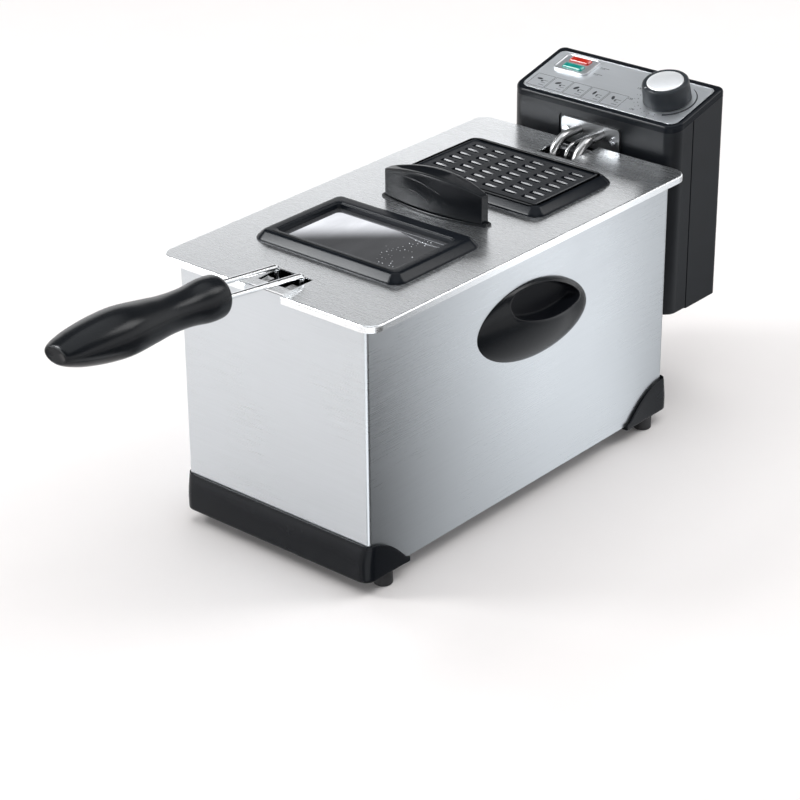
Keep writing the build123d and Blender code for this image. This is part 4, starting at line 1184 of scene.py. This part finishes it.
def camera():
    """Looks from the photo's side, with a long lens."""
    back = Vector((math.sin(CAMERA_AZIMUTH) * math.cos(CAMERA_ELEVATION),
                   -math.cos(CAMERA_AZIMUTH) * math.cos(CAMERA_ELEVATION), math.sin(CAMERA_ELEVATION)))
    right = Vector((math.cos(CAMERA_AZIMUTH), math.sin(CAMERA_AZIMUTH), 0))
    up = back.cross(right)
    turn = Matrix((right, up, back)).transposed().to_4x4() @ Matrix.Rotation(CAMERA_ROLL, 4, "Z")
    data = bpy.data.cameras.new("camera")
    data.lens = CAMERA_LENS
    data.sensor_width = 36
    data.clip_end = 50
    piece = bpy.data.objects.new("camera", data)
    bpy.context.scene.collection.objects.link(piece)
    place = Vector((CAMERA_X, CASING_LO.y + CAMERA_FROM_CASING, CASING_LO.z + CAMERA_ABOVE_CASING))
    piece.matrix_world = Matrix.Translation(place) @ turn
    bpy.context.scene.camera = piece


FLOOR_REACH = 12.0


def stage():
    """Wide pale paper floor."""
    mesh = bpy.data.meshes.new("floor")
    corners = ((-1, -1), (1, -1), (1, 1), (-1, 1))
    mesh.from_pydata([(x * FLOOR_REACH, y * FLOOR_REACH, 0) for x, y in corners], [], [(0, 1, 2, 3)])
    floor = add_object("floor", mesh)
    material, tree, shader = new_material("floor_paper", (0.90, 0.875, 0.868), 0.0, 0.65)
    fibre = noise(tree, (14, 14, 14), detail=3.0)
    tint(tree, shader, fibre, (0.897, 0.871, 0.864), (0.905, 0.880, 0.873))
    shader.inputs["Specular IOR Level"].default_value = 0.1
    floor.data.materials.append(material)


# The studio as the right side mirrors it: distance along the side from the front edge, brightness.
SIDE_GLOW = ((-0.10, 0.05), (-0.02, 0.08), (0.015, 0.31), (0.04, 0.60), (0.09, 1.00), (0.20, 1.68),
             (0.275, 1.78), (0.31, 1.54), (0.335, 1.05), (0.42, 0.60))
MIRROR_SLANT = 1.16
CARD_REACH = 0.60
CARD_TINT = (0.955, 0.975, 1.0)


def glow_card(name, corners):
    """Four-sided card that only mirrored rays see; gives its node tree and the node that glows."""
    mesh = bpy.data.meshes.new(name)
    mesh.from_pydata([tuple(v) for v in corners], [], [(0, 1, 2, 3)])
    card = add_object(name, mesh)
    material = bpy.data.materials.new(name)
    material.use_nodes = True
    tree = material.node_tree
    tree.nodes.clear()
    glow = tree.nodes.new("ShaderNodeEmission")
    out = tree.nodes.new("ShaderNodeOutputMaterial")
    tree.links.new(glow.outputs["Emission"], out.inputs["Surface"])
    card.data.materials.append(material)
    card.visible_camera = False
    card.visible_diffuse = False
    card.visible_shadow = False
    card.visible_transmission = False
    return tree, glow


def side_card():
    """Low card beside the casing that shades the side like a studio flag."""
    x0, y0 = CASING_HI.x + 0.004, CASING_LO.y - 0.15
    x1, y1 = x0 + CARD_REACH, CASING_HI.y + 0.9
    tree, glow = glow_card("side_card", ((x0, y0, 0.001), (x1, y0, 0.001), (x1, y1, 0.001), (x0, y1, 0.001)))
    split = add_node(tree, "ShaderNodeSeparateXYZ", Vector=object_place(tree))
    x, y = split.outputs["X"], split.outputs["Y"]
    first, last = SIDE_GLOW[0][0], SIDE_GLOW[-1][0]
    shift = CASING_LO.y - MIRROR_SLANT * CASING_HI.x
    slanted = calculate(tree, "MULTIPLY_ADD", x, -MIRROR_SLANT, y)
    along_side = spread(tree, slanted, 0, 1, first + shift, last + shift)
    top = max(value for _, value in SIDE_GLOW)
    stops = [((distance - first) / (last - first), scaled(CARD_TINT, value / top))
             for distance, value in SIDE_GLOW]
    tree.links.new(ramp(tree, along_side, *stops), glow.inputs["Color"])
    near = spread(tree, x, 0.56 * top, top, CASING_HI.x, CASING_HI.x + 0.25)
    tree.links.new(near, glow.inputs["Strength"])


def mirrored_card(name, corners, brightness):
    """Evenly glowing card; its corners run round it."""
    glow = glow_card(name, corners)[1]
    glow.inputs["Color"].default_value = (0.95, 0.975, 1.0, 1)
    glow.inputs["Strength"].default_value = brightness


def hung_card(name, direction, distance, half_width, half_height, brightness):
    """Card that faces the middle of the appliance from one direction."""
    out = Vector(direction).normalized()
    right = out.cross(Vector((0, 0, 1))).normalized()
    up = right.cross(out)
    middle = Vector((0, 0, 0.12)) + out * distance
    signs = ((-1, -1), (1, -1), (1, 1), (-1, 1))
    corners = [middle + right * half_width * a + up * half_height * b for a, b in signs]
    mirrored_card(name, corners, brightness)


# direction, length, half width over distance, brightness
EDGE_CARD = ((0.757, -0.653), 0.50, 0.53, 1.7)


def edge_card():
    """Wedge on the floor that lights the casing's front right edge."""
    (ex, ey), length, slant, brightness = EDGE_CARD
    x, y = CASING_HI.x + 0.002, CASING_LO.y - 0.002
    points = []
    for reach, side in ((0.012, -1), (0.012, 1), (length, 1), (length, -1)):
        across = side * slant * reach
        points.append((x + ex * reach - ey * across, y + ey * reach + ex * across, 0.002))
    mirrored_card("edge_card", points, brightness)


def area_light(name, place, aim, size, brightness):
    """Soft rectangular light; brightness is its own radiance."""
    data = bpy.data.lights.new(name, "AREA")
    data.shape = "RECTANGLE"
    data.size, data.size_y = size
    data.energy = brightness * math.pi * size[0] * size[1]
    lamp = bpy.data.objects.new(name, data)
    bpy.context.scene.collection.objects.link(lamp)
    lamp.location = place
    lamp.rotation_euler = (Vector(aim) - Vector(place)).to_track_quat("-Z", "Y").to_euler()
    return lamp


HORIZON = math.sin(math.radians(22.8))
HORIZON_SOFT = 0.003
LOW_SKY = 1.52
HIGH_SKY = 0.08


def sky():
    """White backdrop up to a soft horizon, dim studio above it."""
    world = bpy.data.worlds.new("studio")
    bpy.context.scene.world = world
    world.use_nodes = True
    tree = world.node_tree
    background = tree.nodes["Background"]
    background.inputs["Color"].default_value = (0.985, 0.99, 1.0, 1)
    place = add_node(tree, "ShaderNodeTexCoord").outputs["Generated"]
    height = add_node(tree, "ShaderNodeSeparateXYZ", Vector=place).outputs["Z"]
    level = add_node(tree, "ShaderNodeMapRange", Value=height, From_Min=HORIZON - HORIZON_SOFT,
                     From_Max=HORIZON + HORIZON_SOFT, To_Min=LOW_SKY, To_Max=HIGH_SKY)
    level.interpolation_type = "SMOOTHSTEP"
    tree.links.new(level.outputs["Result"], background.inputs["Strength"])


def lighting():
    sky()
    overhead = area_light("overhead_softbox", (0.0, 0.3, 3.6), (0, 0, 0), (4.0, 4.0), 2.1)
    overhead.visible_glossy = False
    area_light("front_left_softbox", (-1.75, -1.31, 2.05), (0, 0, 0.15), (0.75, 0.75), 15.0)
    area_light("rear_right_softbox", (1.3, 1.7, 2.1), (0, 0, 0.1), (1.0, 1.0), 6.0)
    bpy.context.scene.view_settings.view_transform = "Standard"


dress_cad_nodes()
window_frame()
window_dots()
vent_grille()
lid_handle()
handle_grip()
frying_basket()
fascia_bead()
lamps()
panel_print()
dial_numbers()
knob()
base_mouldings()
camera()
stage()
side_card()
edge_card()
hung_card("slope_card", (-0.584, -0.44, 0.68), 3.0, 0.55, 0.55, 18.0)
hung_card("overhead_card", (0.0, 0.083, 1.0), 3.5, 2.0, 2.0, 1.4)
hung_card("plinth_card", (-0.584, -0.79, 0.20), 3.0, 0.80, 0.44, 7.0)
lighting()
